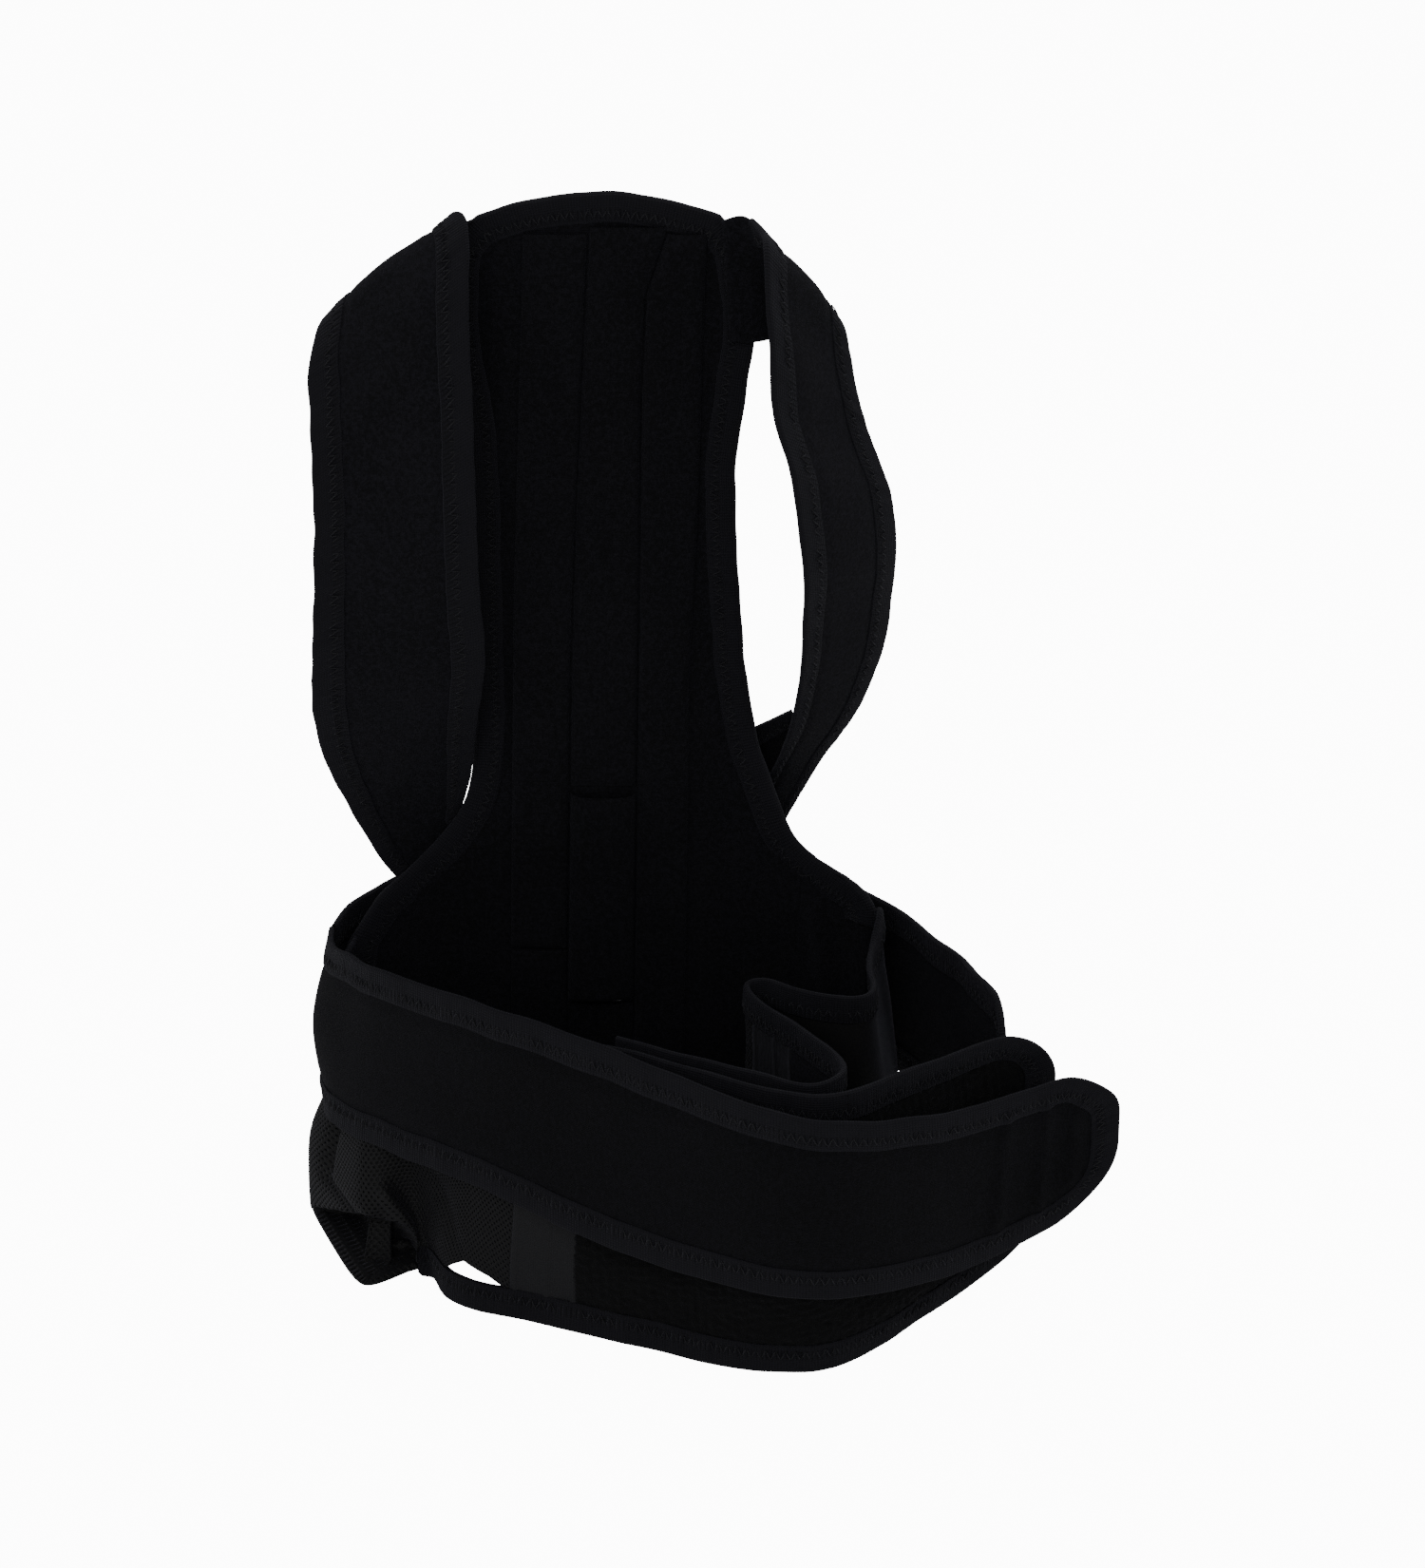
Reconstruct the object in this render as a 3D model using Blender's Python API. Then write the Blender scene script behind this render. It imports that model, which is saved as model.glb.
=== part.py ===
"""A full-back posture brace, standing on the lower edge of its waist belt.

The wearer's side of the back panel faces -Y. X runs across the back and Z runs up the spine. The
origin is on the lower edge of the panel, under the spine. All lengths are in metres.
Soft strips are built as Sheets: a ruled surface between two edge curves, on which every layer,
binding and patch is laid at its own height.
"""

import math

import bpy
import numpy as np

# Driving dimensions
GAP = 0.0004  # between touching layers
BINDING_WIDTH = 0.0145  # folded elastic tape
BINDING_WALL = 0.0009
STRAP_THICKNESS = 0.0026
PINCH = 0.3  # how much of its thickness a web keeps inside the fold of its tape
BELT_HEIGHT = 0.147
PANEL_PEAK = 0.503
PANEL_CORNER_Z = 0.490
PANEL_HALF_BASE = 0.130
FLARE_START = 0.050  # the panel is flat inside this half width and curls forward outside it
FLARE_DEPTH = 0.035
PANEL_BACK, PANEL_FRONT = -0.0030, 0.0026  # the layers' outer faces, as heights off the panel surface
COVER_INNER, LINING_INNER = -0.0014, 0.0015  # their inner faces
FOAM_BACK, FOAM_FRONT = -0.0007, 0.0008
PANEL_INSET = 0.0034  # how far the layers stop inside the fold of the panel's tape
PANEL_TAPE_ROOM = 0.0009
DOME_START = 0.435  # height from which the panel's rows bend up into the dome
DOME_EDGE = 0.0555  # where the tape leaves the dome for the sides
WEBBING_WIDTH = 0.030
TURN_LENGTH = 0.030  # a turn of one radian gets as many stations as this length of straight strip

# Half width of the back panel by height, from the waist up to the strap corners
PANEL_LEFT = [
    (0.000, 0.1300), (0.100, 0.1290), (0.132, 0.1260), (0.142, 0.1205), (0.150, 0.1145),
    (0.158, 0.1072), (0.166, 0.0960), (0.178, 0.0830), (0.190, 0.0728), (0.205, 0.0660),
    (0.220, 0.0632), (0.240, 0.0622), (0.290, 0.0622), (0.366, 0.0622), (0.400, 0.0650),
    (0.435, 0.0700), (0.465, 0.0682), (0.481, 0.0645), (0.490, 0.0580),
]
PANEL_RIGHT = [
    (0.000, 0.1300), (0.100, 0.1300), (0.143, 0.1310), (0.152, 0.1308), (0.1585, 0.1285),
    (0.1635, 0.1245), (0.1685, 0.1165), (0.1725, 0.1060), (0.180, 0.0960), (0.190, 0.0895),
    (0.200, 0.0850), (0.215, 0.0787), (0.236, 0.0718), (0.267, 0.0668), (0.291, 0.0653),
    (0.320, 0.0636), (0.366, 0.0622), (0.400, 0.0650), (0.435, 0.0700), (0.465, 0.0682),
    (0.481, 0.0645), (0.490, 0.0580),
]

# Heights and half-panel places that every layer and the binding share, so that their facets agree
ROWS = [
    0.100, 0.132, 0.142, 0.150, 0.158, 0.1635, 0.1685, 0.1735, 0.181, 0.191, 0.203, 0.218, 0.240, 0.270,
    0.310, 0.360, 0.400, 0.435, 0.465, 0.481,
]
BINDING_START = 0.140  # lowest height of the upper binding
MIDDLE = (-0.025, 0.0, 0.025)
FLARE_STEPS = 5

CHANNELS = {  # x span at the low end, x span at the high end, heights of the two ends
    "left": ((-0.0475, -0.0200), (-0.0385, -0.0055), (0.119, 0.474)),
    "centre": ((-0.0145, 0.0120), (-0.0045, 0.0225), (0.207, 0.474)),
    "right": ((0.0130, 0.0375), (0.0235, 0.0490), (0.020, 0.474)),
}
CHANNEL_RISE, CHANNEL_WALL = 0.0034, 0.0009
STAY_HALF, STAY_THICKNESS, STAY_ROUNDING = 0.0092, 0.0012, 0.006
STAY_LOW_MARGIN, STAY_HIGH_MARGIN = 0.004, 0.006
POCKET_X = ((-0.0185, 0.0095), (-0.0150, 0.0110))  # x span at the low and the high end
POCKET_Z = (0.0900, 0.2020)
POCKET_RISE, POCKET_WALL = 0.0078, 0.0010
INSERT_HALF, INSERT_MARGIN, INSERT_ROUNDING = 0.0098, 0.002, 0.004
INSERT_LIFT, INSERT_THICKNESS = 0.0038, 0.0024
PATCH_LOW, PATCH_THICKNESS = 0.018, 0.0014
LEFT_PATCH_TOP, POCKET_PATCH_TOP = 0.1180, 0.0885

# Each strip's edges, as (low edge point, high edge point) pairs along its length
RIGHT_STRAP = [  # outer edge, inner edge
    ((0.0755, 0.0005, 0.432), (0.0695, 0.0005, 0.484)),
    ((0.0920, 0.003, 0.435), (0.0710, -0.010, 0.493)),
    ((0.1060, -0.001, 0.440), (0.0735, -0.024, 0.494)),
    ((0.1120, -0.008, 0.429), (0.0760, -0.038, 0.487)),
    ((0.1165, -0.010, 0.405), (0.0780, -0.052, 0.458)),
    ((0.1255, -0.010, 0.378), (0.0800, -0.060, 0.424)),
    ((0.1340, -0.010, 0.352), (0.0900, -0.066, 0.388)),
    ((0.1365, -0.008, 0.322), (0.0935, -0.063, 0.350)),
    ((0.1345, -0.003, 0.290), (0.0945, -0.053, 0.316)),
    ((0.1275, 0.002, 0.260), (0.0938, -0.038, 0.282)),
    ((0.1160, 0.007, 0.232), (0.0908, -0.022, 0.253)),
    ((0.1025, 0.011, 0.208), (0.0860, -0.008, 0.230)),
    ((0.0935, 0.013, 0.192), (0.0815, 0.004, 0.213)),
]
RIGHT_CROSSING = [
    ((0.0950, 0.0245, 0.1915), (0.0905, 0.0195, 0.2375)),
    ((0.0780, 0.0180, 0.1720), (0.0690, 0.0165, 0.2280)),
    ((0.0520, 0.0165, 0.1450), (0.0380, 0.0155, 0.2130)),
    ((0.0250, 0.0155, 0.1220), (0.0000, 0.0155, 0.1950)),
    ((-0.0300, 0.0160, 0.0880), (-0.0500, 0.0160, 0.1700)),
    ((-0.0850, 0.0170, 0.0690), (-0.0920, 0.0170, 0.1540)),
    ((-0.1120, 0.0100, 0.0650), (-0.1110, 0.0090, 0.1490)),
    ((-0.1310, -0.010, 0.0640), (-0.1275, -0.012, 0.1470)),
    ((-0.1400, -0.035, 0.0635), (-0.1370, -0.034, 0.1460)),
]
FRONT_TAIL = [
    ((-0.1402, -0.0375, 0.0635), (-0.1372, -0.0365, 0.1460)),
    ((-0.1400, -0.060, 0.0640), (-0.1350, -0.058, 0.1470)),
    ((-0.1300, -0.085, 0.0660), (-0.1200, -0.080, 0.1520)),
    ((-0.1060, -0.112, 0.0690), (-0.1010, -0.102, 0.1580)),
    ((-0.0590, -0.147, 0.0690), (-0.0560, -0.136, 0.1600)),
    ((-0.0140, -0.172, 0.0600), (-0.0130, -0.161, 0.1570)),
    ((0.0300, -0.195, 0.0540), (0.0310, -0.184, 0.1500)),
    ((0.0740, -0.216, 0.0525), (0.0730, -0.208, 0.1450)),
    ((0.1060, -0.221, 0.0530), (0.1050, -0.216, 0.1420)),
    ((0.1430, -0.207, 0.0510), (0.1410, -0.203, 0.1370)),
    ((0.1720, -0.188, 0.0500), (0.1710, -0.184, 0.1320)),
    ((0.2050, -0.172, 0.0600), (0.2030, -0.166, 0.1320)),
    ((0.2360, -0.166, 0.0780), (0.2350, -0.157, 0.1350)),
]
LEFT_STRAP = [  # inner edge, outer edge
    ((-0.0695, 0.0005, 0.484), (-0.0760, 0.0005, 0.432)),
    ((-0.0665, -0.0050, 0.4930), (-0.1000, 0.0025, 0.435)),
    ((-0.0600, -0.015, 0.497), (-0.1260, -0.009, 0.445)),
    ((-0.0580, -0.027, 0.485), (-0.1310, -0.024, 0.430)),
    ((-0.0580, -0.036, 0.462), (-0.1310, -0.034, 0.406)),
    ((-0.0570, -0.043, 0.428), (-0.1300, -0.041, 0.376)),
    ((-0.0560, -0.047, 0.384), (-0.1310, -0.044, 0.341)),
    ((-0.0570, -0.044, 0.337), (-0.1340, -0.042, 0.302)),
    ((-0.0580, -0.034, 0.286), (-0.1360, -0.034, 0.264)),
    ((-0.0628, -0.019, 0.247), (-0.1325, -0.021, 0.233)),
    ((-0.0690, -0.003, 0.214), (-0.1215, -0.009, 0.200)),
    ((-0.0712, 0.005, 0.201), (-0.1130, 0.001, 0.178)),
    ((-0.0720, 0.0078, 0.194), (-0.1060, 0.006, 0.164)),
]
LEFT_CROSSING = [
    ((-0.0700, 0.0086, 0.1915), (-0.1035, 0.0078, 0.1610)),
    ((-0.0450, 0.0084, 0.1870), (-0.0720, 0.0086, 0.1250)),
    ((-0.0050, 0.0084, 0.1800), (-0.0200, 0.0084, 0.1020)),
    ((0.0480, 0.0082, 0.1670), (0.0380, 0.0082, 0.0880)),
    ((0.0960, 0.0095, 0.1590), (0.0930, 0.0100, 0.0740)),
    ((0.1150, 0.0060, 0.1545), (0.1145, 0.0070, 0.0680)),
]
SIDE_TAIL = [
    ((0.1175, 0.0046, 0.0680), (0.1180, 0.0036, 0.1540)),
    ((0.1335, -0.008, 0.0630), (0.1330, -0.009, 0.1510)),
    ((0.1525, -0.036, 0.0600), (0.1515, -0.038, 0.1500)),
    ((0.1695, -0.076, 0.0590), (0.1685, -0.079, 0.1500)),
    ((0.1785, -0.110, 0.0600), (0.1775, -0.112, 0.1500)),
    ((0.1830, -0.138, 0.0620), (0.1825, -0.139, 0.1480)),
]
BELT_LEFT = [
    ((-0.1300, -0.0450, 0.0010), (-0.1270, -0.0430, 0.147)),
    ((-0.1390, -0.0600, 0.0010), (-0.1260, -0.0580, 0.147)),
    ((-0.1330, -0.0880, 0.0010), (-0.1150, -0.0750, 0.147)),
    ((-0.1080, -0.1160, 0.0010), (-0.0940, -0.0940, 0.147)),
    ((-0.0710, -0.1370, 0.0008), (-0.0620, -0.1210, 0.147)),
    ((-0.0330, -0.1540, 0.0008), (-0.0280, -0.1420, 0.147)),
    ((0.0030, -0.1660, 0.0007), (0.0050, -0.1560, 0.147)),
    ((0.0480, -0.1860, 0.0004), (0.0480, -0.1780, 0.147)),
    ((0.0820, -0.2000, 0.0002), (0.0820, -0.1960, 0.147)),
    ((0.1050, -0.1985, 0.0002), (0.1050, -0.2000, 0.147)),
    ((0.1310, -0.1800, 0.003), (0.1310, -0.1840, 0.147)),
    ((0.1640, -0.1550, 0.012), (0.1640, -0.1600, 0.148)),
    ((0.1870, -0.1470, 0.026), (0.1870, -0.1500, 0.150)),
    ((0.2100, -0.1430, 0.038), (0.2120, -0.1440, 0.149)),
]
BELT_RIGHT = [
    (0.1310, -0.0430), (0.1275, -0.0600), (0.1260, -0.0800), (0.1275, -0.1000),
    (0.1220, -0.1110), (0.1080, -0.1110), (0.0900, -0.1040), (0.0760, -0.0960),
    (0.0680, -0.0980), (0.0740, -0.1120), (0.0920, -0.1350), (0.1060, -0.1580),
    (0.1100, -0.1770), (0.0960, -0.1890), (0.0650, -0.1760), (0.0310, -0.1595), (0.0080, -0.1455),
]

BLACK_KNIT = ("black_knit", (0.0065, 0.0063, 0.0085), 0.92)
BLACK_TAPE = ("black_elastic_tape", (0.0095, 0.0090, 0.0125), 0.85)
BLACK_MESH = ("black_air_mesh", (0.0070, 0.0070, 0.0085), 0.80)
BLACK_PILE = ("black_loop_pile", (0.0045, 0.0045, 0.0055), 0.97)
BLACK_HOOK = ("black_hook_tape", (0.0050, 0.0050, 0.0060), 0.60)
GREY_FOAM = ("grey_foam", (0.0800, 0.0800, 0.0850), 0.95)
STEEL = ("spring_steel", (0.4500, 0.4500, 0.4700), 0.35)

parts = None


def start_scene():
    """Empties the scene and opens the object's collection."""
    global parts
    for obj in list(bpy.data.objects):
        bpy.data.objects.remove(obj)
    parts = bpy.data.collections.new("back_brace")
    bpy.context.scene.collection.children.link(parts)


def material(look):
    name, colour, roughness = look
    if name in bpy.data.materials:
        return bpy.data.materials[name]
    made = bpy.data.materials.new(name)
    made.use_nodes = True
    shader = made.node_tree.nodes["Principled BSDF"]
    shader.inputs["Base Color"].default_value = (*colour, 1.0)
    shader.inputs["Roughness"].default_value = roughness
    shader.inputs["Metallic"].default_value = 1.0 if look is STEEL else 0.0
    return made


def body_from_rings(name, rings, look, parent=None):
    """A closed solid lofted through rings of points, with its two ends capped."""
    rings = np.asarray(rings, float)
    count, around = rings.shape[:2]
    points = rings.reshape(-1, 3)
    faces = []
    for i in range(count - 1):
        for j in range(around):
            k = (j + 1) % around
            here, ahead = i * around, (i + 1) * around
            faces += split_quad(points, here + j, here + k, ahead + k, ahead + j)
    faces.append(tuple(reversed(range(around))))
    faces.append(tuple(range((count - 1) * around, count * around)))
    if ring_volume(points, faces) < 0:
        faces = [tuple(reversed(face)) for face in faces]
    mesh = bpy.data.meshes.new(name)
    origin = np.array(parent.location) if parent else np.zeros(3)
    mesh.from_pydata((points - origin).tolist(), [], faces)
    mesh.materials.append(material(look))
    obj = bpy.data.objects.new(name, mesh)
    obj.parent = parent
    parts.objects.link(obj)
    return obj


def split_quad(points, a, b, c, d):
    """Two triangles along the quad's shorter diagonal, so that neighbouring layers fold alike."""
    if np.linalg.norm(points[a] - points[c]) <= np.linalg.norm(points[b] - points[d]):
        return [(a, b, c), (a, c, d)]
    return [(a, b, d), (b, c, d)]


def ring_volume(points, faces):
    """Six times the signed volume that the faces enclose."""
    total = 0.0
    for face in faces:
        first = points[face[0]]
        for a, b in zip(face[1:-1], face[2:]):
            total += float(np.dot(first, np.cross(points[a], points[b])))
    return total


def smooth_curve(points, per_span=12):
    """A Catmull-Rom curve through the points."""
    given = np.asarray(points, float)
    padded = np.vstack([2 * given[0] - given[1], given, 2 * given[-1] - given[-2]])
    made = []
    for i in range(len(given) - 1):
        p0, p1, p2, p3 = padded[i:i + 4]
        for t in np.arange(per_span) / per_span:
            made.append(
                0.5 * (2 * p1 + (p2 - p0) * t + (2 * p0 - 5 * p1 + 4 * p2 - p3) * t**2
                       + (3 * p1 - p0 - 3 * p2 + p3) * t**3)
            )
    return np.array(made + [given[-1]])


def unit(vectors):
    return vectors / np.linalg.norm(vectors, axis=-1, keepdims=True)


class Sheet:
    """A strip between a low and a high edge curve: s runs along it, t from the low edge, h off it.

    Its stations stand closer together where it turns.
    """

    def __init__(self, pairs, stations):
        low = smooth_curve([pair[0] for pair in pairs])
        high = smooth_curve([pair[1] for pair in pairs])
        middle = (low + high) / 2
        steps = np.linalg.norm(np.diff(middle, axis=0), axis=1)
        along = np.concatenate([[0], np.cumsum(steps)])
        across = unit(high - low)
        normals = unit(np.cross(np.gradient(middle, axis=0), across))
        turns = sum(np.linalg.norm(np.diff(v, axis=0), axis=1) for v in (across, normals))
        measure = np.concatenate([[0], np.cumsum(steps + TURN_LENGTH * turns)])
        self.length = along[-1]
        self.s = np.interp(np.linspace(0, measure[-1], stations), measure, along)
        self.low = np.stack([np.interp(self.s, along, low[:, k]) for k in range(3)], 1)
        self.high = np.stack([np.interp(self.s, along, high[:, k]) for k in range(3)], 1)
        ruling = self.high - self.low
        self.width = float(np.mean(np.linalg.norm(ruling, axis=1)))
        self.low_normal = unit(np.cross(np.gradient(self.low, axis=0), ruling))
        self.high_normal = unit(np.cross(np.gradient(self.high, axis=0), ruling))

    def at(self, s, t, h):
        def read(values):
            return np.array([np.interp(s, self.s, values[:, k]) for k in range(3)])

        share = t / self.width
        normal = unit(read(self.low_normal) * (1 - share) + read(self.high_normal) * share)
        return read(self.low) * (1 - share) + read(self.high) * share + normal * h

    def stops(self, start, end):
        """The stations between two places along the strip, with those two places."""
        inside = [s for s in self.s if start + 0.001 < s < end - 0.001]
        return [start, *inside, end]


def tip_inset(s, length, radius):
    """How far a rounded end has drawn the edges in at s."""
    beyond = s - (length - radius)
    if radius == 0 or beyond <= 0:
        return 0.0
    return radius - math.sqrt(max(radius**2 - beyond**2, 0.0))


def web(name, sheet, look, heights, span=None, edge=0.0, tip=0.0, parent=None, band=None):
    """A layer of the sheet between two heights, held back from the edges by edge."""
    start, end = span or (0.0, sheet.length)
    stops = sheet.stops(start, end - edge if tip else end)
    if tip:
        last = stops[-1]
        stops = [s for s in stops if s < sheet.length - tip] + [
            last - tip * (1 - math.sin(math.radians(a))) for a in (0, 25, 50, 70, 84)
        ]
        stops = sorted(set(stops))
    low_t, high_t = band or (0.0, sheet.width)
    rings = []
    for s in stops:
        inset = tip_inset(s, sheet.length - edge, tip - edge) + edge if tip else edge
        low, high = low_t + inset, high_t - inset
        if not edge:
            across = [(low, 1), (high, 1)]
        else:
            inner = min(BINDING_WIDTH, (high - low) / 3)
            middle = (low + high) / 2
            across = [(low, PINCH), (low + inner, 1), (middle, 1), (high - inner, 1), (high, PINCH)]
        rings.append(
            [sheet.at(s, t, heights[1] * share) for t, share in across]
            + [sheet.at(s, t, heights[0] * share) for t, share in reversed(across)]
        )
    return body_from_rings(name, rings, look, parent)


def folded_tape(name, place, path, heights, look=BLACK_TAPE, parent=None, width=BINDING_WIDTH):
    """Tape folded over an edge: a U section swept along path, whose inner side is on its left."""
    path = np.asarray(path, float)
    inward = unit(np.gradient(path, axis=0))[:, ::-1] * [-1, 1]
    back, front = heights
    wall = BINDING_WALL
    section = [
        (0, back), (width, back), (width, back + wall), (wall, back + wall),
        (wall, front - wall), (width, front - wall), (width, front), (0, front),
    ]
    rings = [
        [place(*(point + side * d), h) for d, h in section]
        for point, side in zip(path, inward)
    ]
    return body_from_rings(name, rings, look, parent)


def edge_path(sheet, high, start=0.0, end=None):
    """The path of a straight binding along one edge, with the sheet on its left."""
    stops = sheet.stops(start, sheet.length if end is None else end)
    return [(s, sheet.width) for s in reversed(stops)] if high else [(s, 0.0) for s in stops]


def tip_path(sheet, radius, start=0.0):
    """Out along the low edge, round the free end and back along the high edge."""
    stops = [s for s in sheet.stops(start, sheet.length) if s < sheet.length - radius - 0.003]
    centre = sheet.length - radius
    turn = [math.radians(a) for a in (0, 18, 36, 54, 72, 90)]
    low_arc = [(centre + radius * math.sin(a), radius - radius * math.cos(a)) for a in turn]
    high_arc = [(s, sheet.width - t) for s, t in reversed(low_arc)]
    return [(s, 0.0) for s in stops] + low_arc + high_arc + [(s, sheet.width) for s in reversed(stops)]


TAPE_ROOM = 0.0012  # inside the fold, each side of the web
TAPE_HEIGHTS = (
    -STRAP_THICKNESS / 2 - TAPE_ROOM - BINDING_WALL,
    STRAP_THICKNESS / 2 + TAPE_ROOM + BINDING_WALL,
)
WEB_HEIGHTS = (-STRAP_THICKNESS / 2, STRAP_THICKNESS / 2)
WEB_EDGE = 2 * BINDING_WALL  # where a web starts, inside the fold
SEWN_END = 0.0025  # how far a web stops short of the seam at its first end
HOOK_MARGIN, HOOK_THICKNESS = 0.006, 0.0012


def empty(name, location):
    made = bpy.data.objects.new(name, None)
    made.empty_display_size = 0.02
    made.location = location
    parts.objects.link(made)
    return made


def panel_depth(x):
    """The panel's surface: flat across the spine, curled forward at the waist flares."""
    return -FLARE_DEPTH * (max(abs(x) - FLARE_START, 0.0) / (PANEL_HALF_BASE - FLARE_START)) ** 2


def panel_at(x, z, h):
    """A point h in front of the panel's surface."""
    step = 1e-4
    slope = (panel_depth(x + step) - panel_depth(x - step)) / (2 * step)
    front = unit(np.array([slope, -1.0, 0.0]))
    return np.array([x, panel_depth(x), z]) + front * h


def half_width(z, side):
    return float(np.interp(z, *zip(*SIDE_CURVES[side])))


def dome(x):
    """How far the domed top stands above its corners at x."""
    return (PANEL_PEAK - PANEL_CORNER_Z) * max(0.0, 1 - (x / PANEL_LEFT[-1][1]) ** 2)


SIDE_CURVES = {-1: smooth_curve(PANEL_LEFT, 4), 1: smooth_curve(PANEL_RIGHT, 4)}


def flare_places(half):
    """Places across one side, from the flat middle's edge out to half."""
    return [FLARE_START + (half - FLARE_START) * k / FLARE_STEPS for k in range(FLARE_STEPS + 1)]


def panel_layer(name, look, heights, inset, bottom):
    """One full layer of the hourglass panel."""
    rows = [bottom, *ROWS, PANEL_CORNER_Z - inset]
    rings = []
    for z in rows:
        rise = max(0.0, (z - DOME_START) / (PANEL_CORNER_Z - inset - DOME_START)) ** 2
        left = [-x for x in reversed(flare_places(half_width(z, -1) - inset))]
        across = [*left, *MIDDLE, *flare_places(half_width(z, 1) - inset)]
        front = [panel_at(x, z + dome(x) * rise, heights[1]) for x in across]
        back = [panel_at(x, z + dome(x) * rise, heights[0]) for x in reversed(across)]
        rings.append(front + back)
    return body_from_rings(name, rings, look)


def back_panel():
    inset = PANEL_INSET
    panel_layer("back_outer_cover", BLACK_KNIT, (PANEL_BACK, COVER_INNER), inset, inset)
    panel_layer("back_foam_core", GREY_FOAM, (FOAM_BACK, FOAM_FRONT), inset, 2 * inset)
    panel_layer("back_lining", BLACK_KNIT, (LINING_INNER, PANEL_FRONT), inset, inset)
    reach = PANEL_TAPE_ROOM + BINDING_WALL
    heights = (PANEL_BACK - reach, PANEL_FRONT + reach)
    bound = [z for z in ROWS if z > BINDING_START]
    over = [(x, PANEL_CORNER_Z + dome(x)) for x in (DOME_EDGE, *reversed(MIDDLE), -DOME_EDGE)]
    right = [(half_width(z, 1), z) for z in bound]
    left = [(-half_width(z, -1), z) for z in reversed(bound)]
    folded_tape("back_upper_binding", panel_at, right + over + left, heights)
    across = flare_places(PANEL_HALF_BASE - inset)
    base = [(-x, 0.0) for x in reversed(across)] + [(x, 0.0) for x in across]
    folded_tape("back_lower_binding", panel_at, base, heights)


def panel_strip(name, look, low_x, high_x, z_span, heights, rounded=0.0, parent=None):
    """A flat strip lying on the panel, from its low_x span up to its high_x span, with rounded corners."""
    low, high = z_span
    stops = [(low, rounded), (low + rounded, 0.0), (high - rounded, 0.0), (high, rounded)]
    rings = []
    for z, inset in stops if rounded else [(low, 0.0), (high, 0.0)]:
        share = (z - low) / (high - low)
        a = low_x[0] * (1 - share) + high_x[0] * share + inset
        b = low_x[1] * (1 - share) + high_x[1] * share - inset
        rings.append([panel_at(x, z, h) for x, h in
                      ((a, heights[0]), (b, heights[0]), (b, heights[1]), (a, heights[1]))])
    return body_from_rings(name, rings, look, parent)


def sleeve(name, low_x, high_x, z_span, heights, wall):
    """A cloth channel sewn to the panel: an arch in section, open towards the panel."""
    low, high = heights
    shoulder = 0.0025
    rings = []
    for z, (a, b) in zip(z_span, (low_x, high_x)):
        section = [
            (a, low), (a, high - shoulder), (a + shoulder, high), (b - shoulder, high),
            (b, high - shoulder), (b, low), (b - wall, low), (b - wall, high - shoulder),
            (b - shoulder, high - wall), (a + shoulder, high - wall), (a + wall, high - shoulder),
            (a + wall, low),
        ]
        rings.append([panel_at(x, z, h) for x, h in section])
    return body_from_rings(name, rings, BLACK_KNIT)


def stay(side, low_x, high_x, z_span, base):
    """The flat spring-steel strip inside a channel, with rounded ends."""
    low_mid, high_mid = sum(low_x) / 2, sum(high_x) / 2
    low, high = z_span
    panel_strip(
        f"stay_{side}", STEEL,
        (low_mid - STAY_HALF, low_mid + STAY_HALF), (high_mid - STAY_HALF, high_mid + STAY_HALF),
        (low + STAY_LOW_MARGIN, high - STAY_HIGH_MARGIN), (base + 0.0003, base + 0.0003 + STAY_THICKNESS),
        STAY_ROUNDING,
    )


def channels():
    """Three sewn stay channels with a stay in each, and the patches below two of them."""
    base = PANEL_FRONT + GAP
    for side, (low_x, high_x, z_span) in CHANNELS.items():
        sleeve(f"stay_channel_{side}", low_x, high_x, z_span, (base, base + CHANNEL_RISE), CHANNEL_WALL)
        stay(side, low_x, high_x, z_span, base)
    left_x = CHANNELS["left"][0]
    flat = (base, base + PATCH_THICKNESS)
    panel_strip("left_channel_end_patch", BLACK_KNIT, left_x, left_x, (PATCH_LOW, LEFT_PATCH_TOP), flat)
    pocket_x = POCKET_X[0]
    panel_strip("pocket_lower_patch", BLACK_KNIT, pocket_x, pocket_x, (PATCH_LOW, POCKET_PATCH_TOP), flat)


def lumbar_pocket():
    """A pocket with a free top edge, and the flat insert that slides up out of it."""
    base = PANEL_FRONT + GAP
    sleeve("lumbar_pocket", *POCKET_X, POCKET_Z, (base, base + POCKET_RISE), POCKET_WALL)
    middle = (POCKET_X[0][1] + POCKET_X[1][0]) / 2
    span = (middle - INSERT_HALF, middle + INSERT_HALF)
    pivot = empty("lumbar_insert_slide", (middle, -0.008, POCKET_Z[0]))
    low, high = POCKET_Z[0] + INSERT_MARGIN, POCKET_Z[1] - INSERT_MARGIN
    panel_strip("lumbar_insert", GREY_FOAM, span, span, (low, high),
                (base + INSERT_LIFT, base + INSERT_LIFT + INSERT_THICKNESS), INSERT_ROUNDING, pivot)


def bound_strap(name, sheet, edges, parent=None):
    """A strap web with a folded tape along each of its two named edges."""
    web(name, sheet, BLACK_KNIT, WEB_HEIGHTS, (SEWN_END, sheet.length), WEB_EDGE, parent=parent)
    for edge, high in zip(edges, (False, True)):
        folded_tape(f"{name}_{edge}_binding", sheet.at, edge_path(sheet, high), TAPE_HEIGHTS, parent=parent)


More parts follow.
